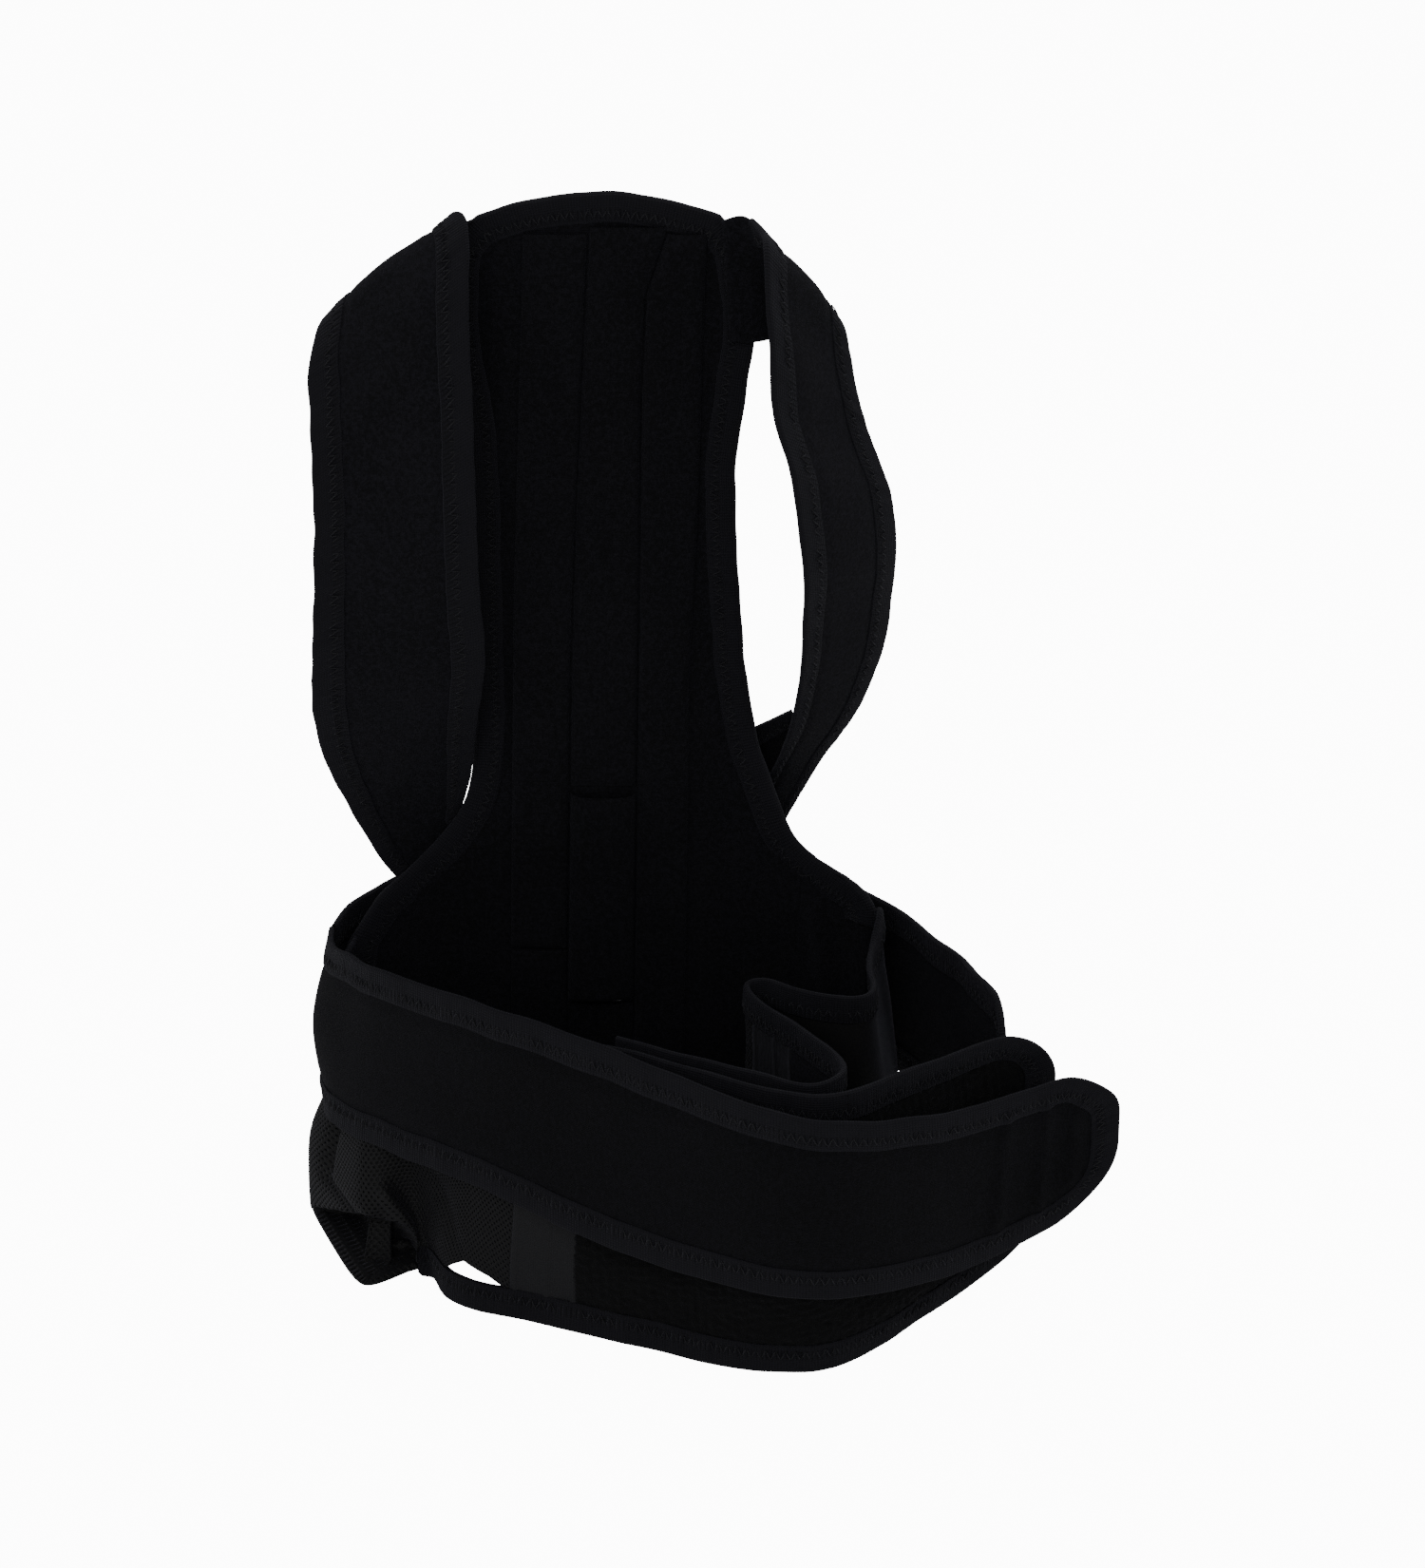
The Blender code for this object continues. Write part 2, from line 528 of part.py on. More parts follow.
def tailed_strap(name, sheet, radius, hook_span, parent):
    """A strap with a rounded free end, one tape right round it, and a hook patch near the end."""
    web(name, sheet, BLACK_KNIT, WEB_HEIGHTS, edge=WEB_EDGE, tip=radius, parent=parent)
    folded_tape(f"{name}_binding", sheet.at, tip_path(sheet, radius), TAPE_HEIGHTS, parent=parent)
    near = STRAP_THICKNESS / 2 + GAP
    margin = BINDING_WIDTH + HOOK_MARGIN
    web(f"{name}_hook_patch", sheet, BLACK_HOOK, (-near - HOOK_THICKNESS, -near), span=hook_span,
        band=(margin, sheet.width - margin), parent=parent)


def shoulder_straps():
    """The two arm loops, and the lower straps that cross behind the panel."""
    left_pivot = empty("left_shoulder_swing", LEFT_STRAP[0][0])
    right_pivot = empty("right_shoulder_swing", RIGHT_STRAP[0][1])
    bound_strap("left_shoulder_strap", Sheet(LEFT_STRAP, 52), ("inner", "outer"), left_pivot)
    bound_strap("right_shoulder_strap", Sheet(RIGHT_STRAP, 40), ("outer", "inner"), right_pivot)
    bound_strap("left_strap_crossing", Sheet(LEFT_CROSSING, 12), ("upper", "lower"))
    bound_strap("right_strap_crossing", Sheet(RIGHT_CROSSING, 17), ("lower", "upper"))


def tails():
    front = Sheet(FRONT_TAIL, 30)
    pivot = empty("front_tail_swing", (-0.1430, -0.0362, 0.105))
    tailed_strap("front_tail", front, 0.034, (front.length - 0.105, front.length - 0.022), pivot)
    side = Sheet(SIDE_TAIL, 14)
    pivot = empty("side_tail_swing", (0.1192, 0.0074, 0.110))
    tailed_strap("side_tail", side, 0.026, (side.length - 0.080, side.length - 0.020), pivot)


def upright(plan, low, high):
    """Edge pairs of a strip that stands upright on its plan curve."""
    return [((x, y, low), (x, y, high)) for x, y in plan]


def left_belt():
    """The front half of the waist belt: mesh side, webbing band, loop-faced front with a rounded end."""
    pivot = empty("belt_left_swing", (-0.1430, -0.0362, 0.074))
    sheet = Sheet(BELT_LEFT, 32)
    mesh_end = 0.148
    band_end = mesh_end + WEBBING_WIDTH
    tip = 0.030
    web("belt_left_mesh_side", sheet, BLACK_MESH, WEB_HEIGHTS, (0.0, mesh_end), WEB_EDGE, parent=pivot)
    web("belt_left_webbing_band", sheet, BLACK_TAPE, WEB_HEIGHTS, (mesh_end + GAP, band_end), WEB_EDGE,
        parent=pivot)
    web("belt_left_loop_panel", sheet, BLACK_PILE, (0.0002, WEB_HEIGHTS[1]),
        (band_end + GAP, sheet.length), WEB_EDGE, tip, parent=pivot)
    web("belt_left_lining", sheet, BLACK_KNIT, (WEB_HEIGHTS[0], -0.0002),
        (band_end + GAP, sheet.length), WEB_EDGE, tip, parent=pivot)
    outline = tip_path(sheet, tip)
    turned = next(i for i, (s, _) in enumerate(outline) if s >= sheet.length - tip)
    joint = sheet.length - tip - 0.003
    folded_tape("belt_left_lower_binding", sheet.at, [*outline[:turned], (joint, 0.0)], TAPE_HEIGHTS,
                parent=pivot)
    folded_tape("belt_left_end_binding", sheet.at, [(joint + GAP, 0.0), *outline[turned:]], TAPE_HEIGHTS,
                parent=pivot)


def right_belt():
    """The other half of the waist belt, folded in an S inside the loop."""
    pivot = empty("belt_right_swing", (0.1310, -0.0405, 0.074))
    sheet = Sheet(upright(BELT_RIGHT, 0.0, BELT_HEIGHT), 44)
    mesh_end = 0.150
    band_end = mesh_end + WEBBING_WIDTH
    web("belt_right_mesh_side", sheet, BLACK_MESH, WEB_HEIGHTS, (0.0, mesh_end), WEB_EDGE, parent=pivot)
    web("belt_right_webbing_band", sheet, BLACK_TAPE, WEB_HEIGHTS, (mesh_end + GAP, band_end), WEB_EDGE,
        parent=pivot)
    web("belt_right_end_panel", sheet, BLACK_KNIT, WEB_HEIGHTS, (band_end + GAP, sheet.length), WEB_EDGE,
        parent=pivot)
    folded_tape("belt_right_lower_binding", sheet.at, edge_path(sheet, False), TAPE_HEIGHTS, parent=pivot)
    folded_tape("belt_right_upper_binding", sheet.at, edge_path(sheet, True), TAPE_HEIGHTS, parent=pivot)


def main():
    start_scene()
    back_panel()
    channels()
    lumbar_pocket()
    shoulder_straps()
    tails()
    left_belt()
    right_belt()


main()
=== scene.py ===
"""The looks of the back brace: cloth, tape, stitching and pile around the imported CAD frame.

X runs across the back, the wearer's side faces -Y, Z runs up the spine. All lengths are in metres
except in the outlines, which mm() takes from millimetres. Each soft strip is a Strip: a ruled surface
between two edge curves that lie close to the CAD part's, on which webs, folded tapes, patches and
stitches are laid at their own heights.
"""

import math

import bpy
import numpy as np
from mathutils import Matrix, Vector


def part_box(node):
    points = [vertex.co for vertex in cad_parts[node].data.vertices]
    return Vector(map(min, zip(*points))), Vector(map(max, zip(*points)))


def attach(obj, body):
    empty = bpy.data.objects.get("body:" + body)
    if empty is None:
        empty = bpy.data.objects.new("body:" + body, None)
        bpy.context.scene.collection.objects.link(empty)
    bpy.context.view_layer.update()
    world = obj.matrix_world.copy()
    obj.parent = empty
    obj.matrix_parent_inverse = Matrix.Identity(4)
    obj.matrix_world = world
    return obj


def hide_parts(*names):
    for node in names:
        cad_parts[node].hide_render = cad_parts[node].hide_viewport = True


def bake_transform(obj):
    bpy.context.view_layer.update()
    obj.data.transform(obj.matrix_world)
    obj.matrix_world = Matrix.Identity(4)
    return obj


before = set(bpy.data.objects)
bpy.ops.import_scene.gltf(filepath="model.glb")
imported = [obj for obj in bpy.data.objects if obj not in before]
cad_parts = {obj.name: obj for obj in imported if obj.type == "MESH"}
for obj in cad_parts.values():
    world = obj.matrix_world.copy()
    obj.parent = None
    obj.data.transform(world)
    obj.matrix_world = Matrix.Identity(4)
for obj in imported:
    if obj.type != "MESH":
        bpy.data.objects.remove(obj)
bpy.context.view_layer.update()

# Shared dimensions
TAPE_WIDTH, TAPE_WALL = 0.0145, 0.0007
TAPE_HEIGHT = 0.0015  # half the thickness of a binding folded over a strap's edge
PANEL_TAPE_HEIGHT = 0.0027  # the same round the back panel
TAPE_STEP = 0.0013  # between stations along a tape
CLOTH_HALF = 0.0014  # half the thickness of a strap's laminated cloth
CLOTH_STEP = 0.0024  # between grid lines on cloth
CLOTH_EDGE = 0.0015  # how far cloth stops short of its strip's edge, inside the folded tape
THREAD_RADIUS = 0.00034
ZIGZAG_PITCH = 0.0046
ZIGZAG_REACH = (0.0075, 0.0118)  # how far in from the folded edge the zigzag stitch runs
BITE_MIDDLES, BITE_REACH = (0.0048, 0.0272), 0.0024  # where it bites, round the tape from a lip
NET_PITCH, YARN_HALF = (0.0024, 0.0019), 0.00045  # along and up the air mesh, and into it
FLARE_START, FLARE_DEPTH, PANEL_HALF_BASE = 0.050, 0.035, 0.130
PANEL_PEAK, PANEL_CORNER_Z = 0.503, 0.490
PANEL_BACK, PANEL_FRONT = -0.0030, 0.0026
PANEL_TAPE_LOW, RIGHT_TAPE_LOW = 0.116, 0.146  # lowest heights of the panel's side tapes
CHANNEL_RISE = 0.0036
BELT_HEIGHT, WEBBING_LENGTH = 0.147, 0.030
LEFT_MESH, RIGHT_MESH = 0.1585, 0.150  # lengths of the belt's mesh sides, from the panel's edge
STRAP_LEAD, LEFT_LEAD, RIGHT_LEAD = 0.0077, 0.0179, 0.0132  # lengths sewn onto the back panel
LOWER_BINDING_START = 0.088  # where the left belt's lower tape comes out from under the net


def mm(rows):
    """Millimetres, as an array in metres."""
    return np.array(rows, float) / 1000


# Along the left belt, and how far up it: the mesh's loose lower edge, and the rim of its hollow
MESH_LIFT = mm([(100, 102.6, 121.4, 131.6, 146.1, 158.5), (1, 3, 16.6, 22.3, 18.5, 12)])
HOLLOW_RIM = mm([(12.1, 23.7, 43.5, 61, 72.1, 77.9, 83.2), (0.9, 10.4, 24.2, 32.7, 31.8, 28.5, 25.6)])

# Heights and half widths of the back panel, from the waist up to the strap corners
PANEL_LEFT = mm([
    (0, 130), (100, 129), (132, 126), (142, 120.5), (150, 114.5), (158, 107.2), (166, 96),
    (178, 83), (190, 72.8), (205, 66), (220, 63.2), (240, 62.2), (290, 62.2), (366, 62.2),
    (400, 65), (435, 70), (465, 69), (481, 66.2), (490, 60.5),
])
PANEL_RIGHT = mm([
    (0, 130), (100, 130), (143, 131), (152, 130.8), (158.5, 128.5), (163.5, 124.5), (168.5, 116),
    (172.5, 104.5), (180, 94.5), (190, 88), (200, 84.2), (215, 78.7), (236, 72.4), (267, 67.7),
    (291, 66), (320, 64.2), (366, 62.8), (400, 66.4), (435, 71.4), (465, 69), (481, 65.5),
    (490, 59.5),
])

# Each strip's two edges at stations along it: x, y, z on the low edge, then on the high edge
RIGHT_STRAP = mm([  # outer edge, inner edge
    (60, -8.5, 433, 56, -8, 493),
    (74, -6, 432, 64.5, -8, 495.5),
    (93, 0, 435.5, 70, -14, 494),
    (109, -2, 441, 73.2, -24, 492),
    (114.6, -8, 430, 75, -38, 487),
    (118.8, -10, 406, 76.8, -52, 459),
    (127.7, -10, 379, 78.5, -60, 425),
    (136.2, -10, 353, 88.5, -66, 389),
    (137.5, -8, 322, 93, -63, 350),
    (134.2, -3, 290, 94.2, -53, 316),
    (126.8, 2, 260, 93.5, -38, 282),
    (115.2, 7, 232.5, 90.5, -22, 253),
    (101, 11, 208.5, 86, -8, 230),
    (92.5, 13, 192, 81.5, 4, 213),
    (83, 12.5, 172, 73.5, 8.5, 196),
])
RIGHT_CROSSING = mm([
    (95, 24.5, 191.5, 90.5, 19.5, 237.5),
    (78, 18, 172, 69, 16.5, 228),
    (52, 16.5, 145, 38, 15.5, 213),
    (25, 15.5, 122, 0, 15.5, 195),
    (-30, 16, 88, -50, 16, 170),
    (-85, 17, 69, -92, 17, 154),
    (-112, 10, 65, -109.5, 9, 149),
    (-130, -10, 64, -124.5, -12, 147.5),
    (-136.5, -35, 63.5, -130.4, -34, 147.5),
])
FRONT_TAIL = mm([
    (-136.5, -36.5, 63.5, -130.4, -35.5, 147.5),
    (-135, -60, 64, -127.2, -56, 149),
    (-130, -85, 66, -118, -79, 154.5),
    (-106, -112, 69, -101, -102, 158),
    (-59, -147, 69, -56, -136, 160),
    (-14, -172, 60, -13, -161, 157),
    (30, -195, 54, 31, -184, 150),
    (74, -216, 52.5, 73, -208, 145),
    (106, -221, 53, 105, -216, 142),
    (143, -207, 51, 141, -203, 137),
    (173, -188, 50.5, 172, -184, 133),
    (207, -172, 61, 206, -166, 134.5),
    (239, -166, 79.5, 238.5, -157, 138.5),
])
LEFT_STRAP = mm([  # inner edge, outer edge
    (-65.5, 4.6, 476, -70, 4.6, 432),
    (-69.5, 0.5, 484, -76, 0.5, 432),
    (-66.5, -5, 493, -100, 2.5, 435),
    (-60, -15, 497, -123.5, -9, 443),
    (-58, -27, 485, -131.8, -24, 428),
    (-58, -36, 462, -131.8, -34, 405),
    (-57, -43, 428, -131, -41, 376),
    (-56, -47, 384, -131.8, -44, 341),
    (-56, -44, 337, -134.2, -42, 302),
    (-54.5, -34, 286, -136.5, -34, 263),
    (-59.8, -19, 247, -133.7, -21, 231),
    (-64.8, -3, 214, -124, -9, 198.5),
    (-68.2, 3, 200, -115.2, 0, 176),
    (-70.5, 5, 190, -108.5, 4.5, 161),
    (-64, 5.2, 182, -100, 5.2, 150),
])
LEFT_CROSSING = mm([
    (-70, 8.6, 191.5, -103.5, 7.8, 161),
    (-45, 8.4, 187, -72, 8.6, 125),
    (-5, 8.4, 180, -20, 8.4, 102),
    (48, 8.2, 167, 38, 8.2, 88),
    (96, 9.5, 159, 93, 10, 74),
    (115, 6, 154.5, 114.5, 7, 68),
])
SIDE_TAIL = mm([
    (117.5, 4.6, 68, 118, 3.6, 152.5),
    (133.5, -8, 63, 133, -9, 149.5),
    (153, -36, 60, 152.2, -38, 148.8),
    (172, -76, 59, 171.5, -79, 151.2),
    (182.5, -110, 60, 182.5, -112, 152.5),
    (187.5, -138, 62, 187.5, -139, 149),
])
BELT_LEFT = mm([
    (-128.2, -30, 1, -120.5, -23.5, 139),
    (-135, -45, 1, -123.5, -43, 139),
    (-144.5, -57.5, 1, -123.5, -58, 139),
    (-117.5, -126.5, 1, -114, -75, 142),
    (-86.5, -113.5, 1, -94, -94, 146),
    (-70.5, -139.5, 1, -62, -121, 147),
    (-40, -156, 1, -28, -142, 147),
    (3, -172.5, 0.9, 5, -156, 147),
    (48, -191, 0.8, 48, -178, 147),
    (82, -201.5, 0.8, 82, -196, 147),
    (105, -198.5, 0.8, 105, -200, 147),
    (131, -180, 3, 131, -184, 147),
    (164, -155, 12, 164, -160, 148),
    (187, -147, 26, 187, -150, 150),
    (208.5, -143, 38, 210.5, -144, 149),
])
# The right belt in plan: x, y, how far its lower edge spreads out, how far its upper edge rises
BELT_RIGHT = mm([
    (128.5, -30, 0, 6), (131, -43, 18, 13), (127.5, -60, 23, 4), (126, -80, 22, 3),
    (127.5, -100, 12, 3), (122, -111, 4, 3.5), (108, -111, 0, 3.5), (90, -104, 0, 3.5),
    (76, -96, 0, 3.5), (68, -98, 0, 2), (74, -112, 0, 0), (92, -135, 0, 0), (106, -158, 0, 0),
    (110, -177, 0, 0), (96, -189, 0, 0), (65, -176, 0, 0), (31, -159.5, 0, 0), (8, -145.5, 0, 0),
])

# Colours, as linear RGB, and light levels
KNIT_DARK, KNIT_LIGHT = (0.0030, 0.0029, 0.0042), (0.0110, 0.0105, 0.0150)
TAPE_DARK, TAPE_LIGHT = (0.0030, 0.0029, 0.0044), (0.0130, 0.0125, 0.0185)
WEBBING_LIGHT = (0.0145, 0.0145, 0.0180)
MESH_DARK, MESH_LIGHT = (0.0022, 0.0022, 0.0027), (0.0066, 0.0066, 0.0076)
PILE_DARK, PILE_LIGHT = (0.0011, 0.0011, 0.0014), (0.0038, 0.0038, 0.0044)
THREAD_DARK, THREAD_LIGHT = (0.0024, 0.0024, 0.0034), (0.0085, 0.0083, 0.0120)
WORLD_STRENGTH, BACKDROP_STRENGTH = 0.26, 12.0  # as light on the object, and as the camera sees it
KEY_WATTS, FILL_WATTS, TOP_WATTS = 8.6, 0.3, 6.5

# Curves and surfaces


def smooth_curve(points, per_span=16):
    """A Catmull-Rom curve through the points."""
    given = np.asarray(points, float)
    padded = np.vstack([2 * given[0] - given[1], given, 2 * given[-1] - given[-2]])
    t = (np.arange(per_span) / per_span)[:, None]
    made = []
    for i in range(len(given) - 1):
        p0, p1, p2, p3 = padded[i:i + 4]
        square, cube = 2 * p0 - 5 * p1 + 4 * p2 - p3, 3 * p1 - p0 - 3 * p2 + p3
        made.append(0.5 * (2 * p1 + (p2 - p0) * t + square * t**2 + cube * t**3))
    return np.vstack([*made, given[-1]])


def running_length(points):
    return np.concatenate([[0], np.cumsum(np.linalg.norm(np.diff(points, axis=0), axis=1))])


def unit(vectors):
    return vectors / np.maximum(np.linalg.norm(vectors, axis=-1, keepdims=True), 1e-12)


def smoothstep(x, low, high):
    share = np.clip((x - low) / (high - low), 0, 1)
    return share * share * (3 - 2 * share)


def waves(amplitude, length, seed, count=7):
    """Soft irregular waves over (s, t), about that long, always the same for the same seed."""
    draw = np.random.default_rng(seed)
    angle = draw.uniform(0, math.tau, count)
    pitch = length * draw.uniform(0.6, 1.7, count)
    phase = draw.uniform(0, math.tau, count)
    size = amplitude / math.sqrt(count) * draw.uniform(0.5, 1.4, count)

    def height(s, t):
        total = np.zeros(np.broadcast(s, t).shape)
        for a, p, f, h in zip(angle, pitch, phase, size):
            total = total + h * np.sin(math.tau * (s * math.cos(a) + t * math.sin(a)) / p + f)
        return total

    return height


def bulge(s0, t0, reach_s, reach_t, amount):
    """A soft round swelling, or a hollow where amount is negative."""

    def height(s, t):
        return amount * np.exp(-(((s - s0) / reach_s) ** 2) - ((t - t0) / reach_t) ** 2)

    return height


def crease(start, end, width, amount):
    """A soft ridge, or a fold where amount is negative, between two places."""
    a, b = np.array(start), np.array(end)
    along = (b - a) / np.linalg.norm(b - a)
    length = np.linalg.norm(b - a)

    def height(s, t):
        run = (s - a[0]) * along[0] + (t - a[1]) * along[1]
        off = (s - a[0]) * -along[1] + (t - a[1]) * along[0]
        ends = smoothstep(run, -2 * width, width) * (1 - smoothstep(run, length - width, length + 2 * width))
        return amount * ends * np.exp(-((off / width) ** 2))

    return height


def hollow(rim, peak, right, hem, depth, sharp=0.003):
    """A dent with a sharp upper rim and a straight side from peak to right, which runs out above the
    hem. rim is a row of s values and a row of t values."""
    (s0, t0), (s1, t1) = peak, right
    side = math.hypot(s1 - s0, t1 - t0)

    def height(s, t):
        within = ((s - s0) * (t1 - t0) - (t - t0) * (s1 - s0)) / side
        under = smoothstep(np.interp(s, *rim) - t, 0, sharp) * smoothstep(within, 0, sharp)
        return depth * under * smoothstep(t, 0, hem)

    return height


def together(*reliefs):
    def height(s, t):
        return sum(relief(s, t) for relief in reliefs)

    return height


def flat(s, t):
    return np.zeros(np.broadcast(s, t).shape)


class Strip:
    """A strip between a low and a high edge curve: s runs along it, t from the low edge, h off it.

    relief moves everything on the strip off its surface together: its waves, creases and bulges.
    """

    def __init__(self, edges, relief=flat):
        low, high = smooth_curve(edges[:, :3]), smooth_curve(edges[:, 3:])
        self.s = running_length((low + high) / 2)
        self.length = float(self.s[-1])
        self.low, self.high = low, high
        ruling = high - low
        self.width = float(np.mean(np.linalg.norm(ruling, axis=1)))
        self.low_normal = unit(np.cross(np.gradient(low, axis=0), ruling))
        self.high_normal = unit(np.cross(np.gradient(high, axis=0), ruling))
        self.relief = relief

    def at(self, s, t, h=0.0):
        s, t, h = np.broadcast_arrays(np.asarray(s, float), np.asarray(t, float), np.asarray(h, float))

        def read(values):
            return np.stack([np.interp(s, self.s, values[:, k]) for k in range(3)], -1)

        share = (t / self.width)[..., None]
        normal = unit(read(self.low_normal) * (1 - share) + read(self.high_normal) * share)
        off = (h + self.relief(s, t))[..., None]
        return read(self.low) * (1 - share) + read(self.high) * share + normal * off


class Panel:
    """The back panel's surface: x across, z up, h in front of it. It is flat across the spine and its
    waist flares curl forward."""

    def __init__(self, relief=flat):
        self.relief = relief
        self.sides = {-1: smooth_curve(PANEL_LEFT, 6), 1: smooth_curve(PANEL_RIGHT, 6)}

    @staticmethod
    def depth(x):
        out = np.maximum(np.abs(x) - FLARE_START, 0.0) / (PANEL_HALF_BASE - FLARE_START)
        return -FLARE_DEPTH * out**2

    def at(self, x, z, h=0.0):
        x, z, h = np.broadcast_arrays(np.asarray(x, float), np.asarray(z, float), np.asarray(h, float))
        step = 1e-4
        slope = (self.depth(x + step) - self.depth(x - step)) / (2 * step)
        front = unit(np.stack([slope, -np.ones_like(x), np.zeros_like(x)], -1))
        base = np.stack([x, self.depth(x), z], -1)
        return base + front * (h + self.relief(x, z))[..., None]

    def half_width(self, z, side):
        curve = self.sides[side]
        return np.interp(z, curve[:, 0], curve[:, 1])

    @staticmethod
    def dome(x):
        """How far the domed top stands above its corners at x."""
        return (PANEL_PEAK - PANEL_CORNER_Z) * np.maximum(0.0, 1 - (x / PANEL_LEFT[-1, 1]) ** 2)

    def top(self, x):
        return PANEL_CORNER_Z + self.dome(x)


# Meshes


def mesh_object(name, points, quads, uvs, look):
    """A smooth mesh of quads, with one UV in metres for each point."""
    points, quads = np.asarray(points, float), np.asarray(quads, int)
    if enclosed(points, quads) < 0:
        quads = quads[:, ::-1]
    mesh = bpy.data.meshes.new(name)
    mesh.from_pydata(points.tolist(), [], quads.tolist())
    layer = mesh.uv_layers.new(name="cloth")
    layer.data.foreach_set("uv", np.asarray(uvs, np.float32)[quads.ravel()].ravel())
    mesh.materials.append(look)
    mesh.shade_smooth()
    obj = bpy.data.objects.new(name, mesh)
    bpy.context.scene.collection.objects.link(obj)
    return obj


def enclosed(points, quads):
    """Twelve times the signed volume inside the quads."""
    a, b, c, d = (points[quads[:, k]] for k in range(4))
    return float((np.cross(a, b) * c).sum() + (np.cross(a, c) * d).sum())


def sheet_body(name, top, bottom, uvs, look):
    """A closed thin body between two grids of points."""
    n, m = top.shape[:2]
    points = np.vstack([top.reshape(-1, 3), bottom.reshape(-1, 3)])
    index = np.arange(n * m).reshape(n, m)
    upper = quads_of(index)
    quads = np.vstack([upper, upper[:, ::-1] + n * m, rim_quads(index.T, n * m)])
    both = np.vstack([uvs.reshape(-1, 2)] * 2)
    return mesh_object(name, points, quads, both, look)


def quads_of(index):
    return np.stack([index[:-1, :-1], index[:-1, 1:], index[1:, 1:], index[1:, :-1]], -1).reshape(-1, 4)


def rim_quads(index, size):
    """The wall round a grid of points, down to the same grid size places later."""
    rim = np.concatenate([index[:-1, 0], index[-1, :-1], index[:0:-1, -1], index[0, :0:-1]])
    ahead = np.roll(rim, -1)
    return np.stack([ahead, rim, rim + size, ahead + size], 1)


def swept_body(name, rings, uvs, look):
    """A closed body swept through rings whose first half is the outer side and second half the inner."""
    n, m = rings.shape[:2]
    points = rings.reshape(-1, 3)
    index = np.arange(n * m).reshape(n, m)
    wrapped = np.concatenate([index, index[:, :1]], 1)
    k = np.arange(m // 2 - 1)
    caps = []
    for ring, turn in ((index[0], 1), (index[-1], -1)):
        cap = np.stack([ring[k], ring[m - 1 - k], ring[m - 2 - k], ring[k + 1]], 1)
        caps.append(cap[:, ::turn])
    quads = np.vstack([quads_of(wrapped), *caps])
    return mesh_object(name, points, quads, uvs.reshape(-1, 2), look)


def resample(path, step):
    """The path again, at even steps close to step, and its running length."""
    path = np.asarray(path, float)
    run = running_length(path)
    at = np.linspace(0, run[-1], max(2, int(round(run[-1] / step)) + 1))
    return np.stack([np.interp(at, run, path[:, k]) for k in range(2)], 1), at


def inward_of(path):
    """Unit vectors to the left of the path, towards the cloth."""
    ahead = unit(np.gradient(path, axis=0))
    return np.stack([-ahead[:, 1], ahead[:, 0]], 1)


# Cloth, tape, stitches


def edge_swell(depth, thin=0.5):
    """How thick laminated cloth is by its distance from the edge: pressed under the tape, full beyond."""
    return thin + (1 - thin) * smoothstep(depth, TAPE_WIDTH - 0.0006, TAPE_WIDTH + 0.0065)


def tip_inset(s, length, radius):
    """How far a rounded end has drawn the edges in at s."""
    beyond = np.clip(s - (length - radius), 0, radius)
    return radius - np.sqrt(np.maximum(radius**2 - beyond**2, 0.0))


def cloth_grid(strip, span, edge, tip, band, step):
    """Places (s, t) of a strip's grid, and how far each is from the cloth's edge."""
    start, end = span
    rows = np.linspace(start, end, int((end - start) / step) + 1)
    if tip:
        turn = np.radians(np.arange(0, 87, 3))
        last = strip.length - edge
        rows = np.concatenate([rows[rows < strip.length - tip], last - (tip - edge) * (1 - np.sin(turn))])
    inset = (tip_inset(rows, strip.length - edge, tip - edge) if tip else np.zeros_like(rows)) + edge
    low, high = band or (0.0, strip.width)
    across = np.linspace(0, 1, int(high / step) + 1)
    low = low(rows)[:, None] if callable(low) else low
    t = low + inset[:, None] + (high - low - 2 * inset[:, None]) * across
    s = np.repeat(rows[:, None], len(across), 1)
    depth = np.minimum(t - low, high - t)
    if tip:
        past = np.maximum(s - (strip.length - tip), 0)
        beside = np.maximum(np.abs(t - strip.width / 2) - strip.width / 2 + tip, 0)
        depth = np.where(past > 0, np.minimum(depth, tip - np.hypot(past, beside)), depth)
    return s, t, depth


def cloth(name, strip, look, span=None, edge=CLOTH_EDGE, tip=0.0, heights=(-CLOTH_HALF, CLOTH_HALF),
          nap=flat, band=None, step=CLOTH_STEP, thin=0.5):
    """A layer of cloth on a strip. nap roughens its upper side, and thin is its share of thickness at
    the edge."""
    s, t, depth = cloth_grid(strip, span or (0.0, strip.length), edge, tip, band, step)
    swell = edge_swell(depth, thin)
    top = strip.at(s, t, heights[1] * swell + nap(s, t))
    bottom = strip.at(s, t, heights[0] * swell)
    return sheet_body(name, top, bottom, np.stack([s, t], -1), look)


def fold_section(height, width, wall):
    """The closed outline of a tape folded over an edge, as (in from the fold, height) points: its
    outer side from the front lip round the fold to the back lip, then its inner side."""
    turn = np.radians(np.linspace(90, -90, 9))
    lips = [(width - 0.0002, 0.72), (width - 0.0009, 0.98), (width * 0.72, 1.0), (width * 0.45, 1.06),
            (width * 0.22, 1.04)]
    front = [(d, height * share) for d, share in lips]
    fold = [(height * (1 - math.cos(a)), height * math.sin(a)) for a in turn]
    back = [(d, -h) for d, h in reversed(front)]
    outer = np.array(front + fold + back)
    centre = np.array([height, 0.0])
    inner = []
    for d, h in outer:
        if d < height:
            inner.append(centre + (np.array([d, h]) - centre) * (1 - wall / height))
        else:
            inner.append((d - (wall * 0.3 if d > width * 0.9 else 0), h - math.copysign(wall, h)))
    return outer, np.array(inner)


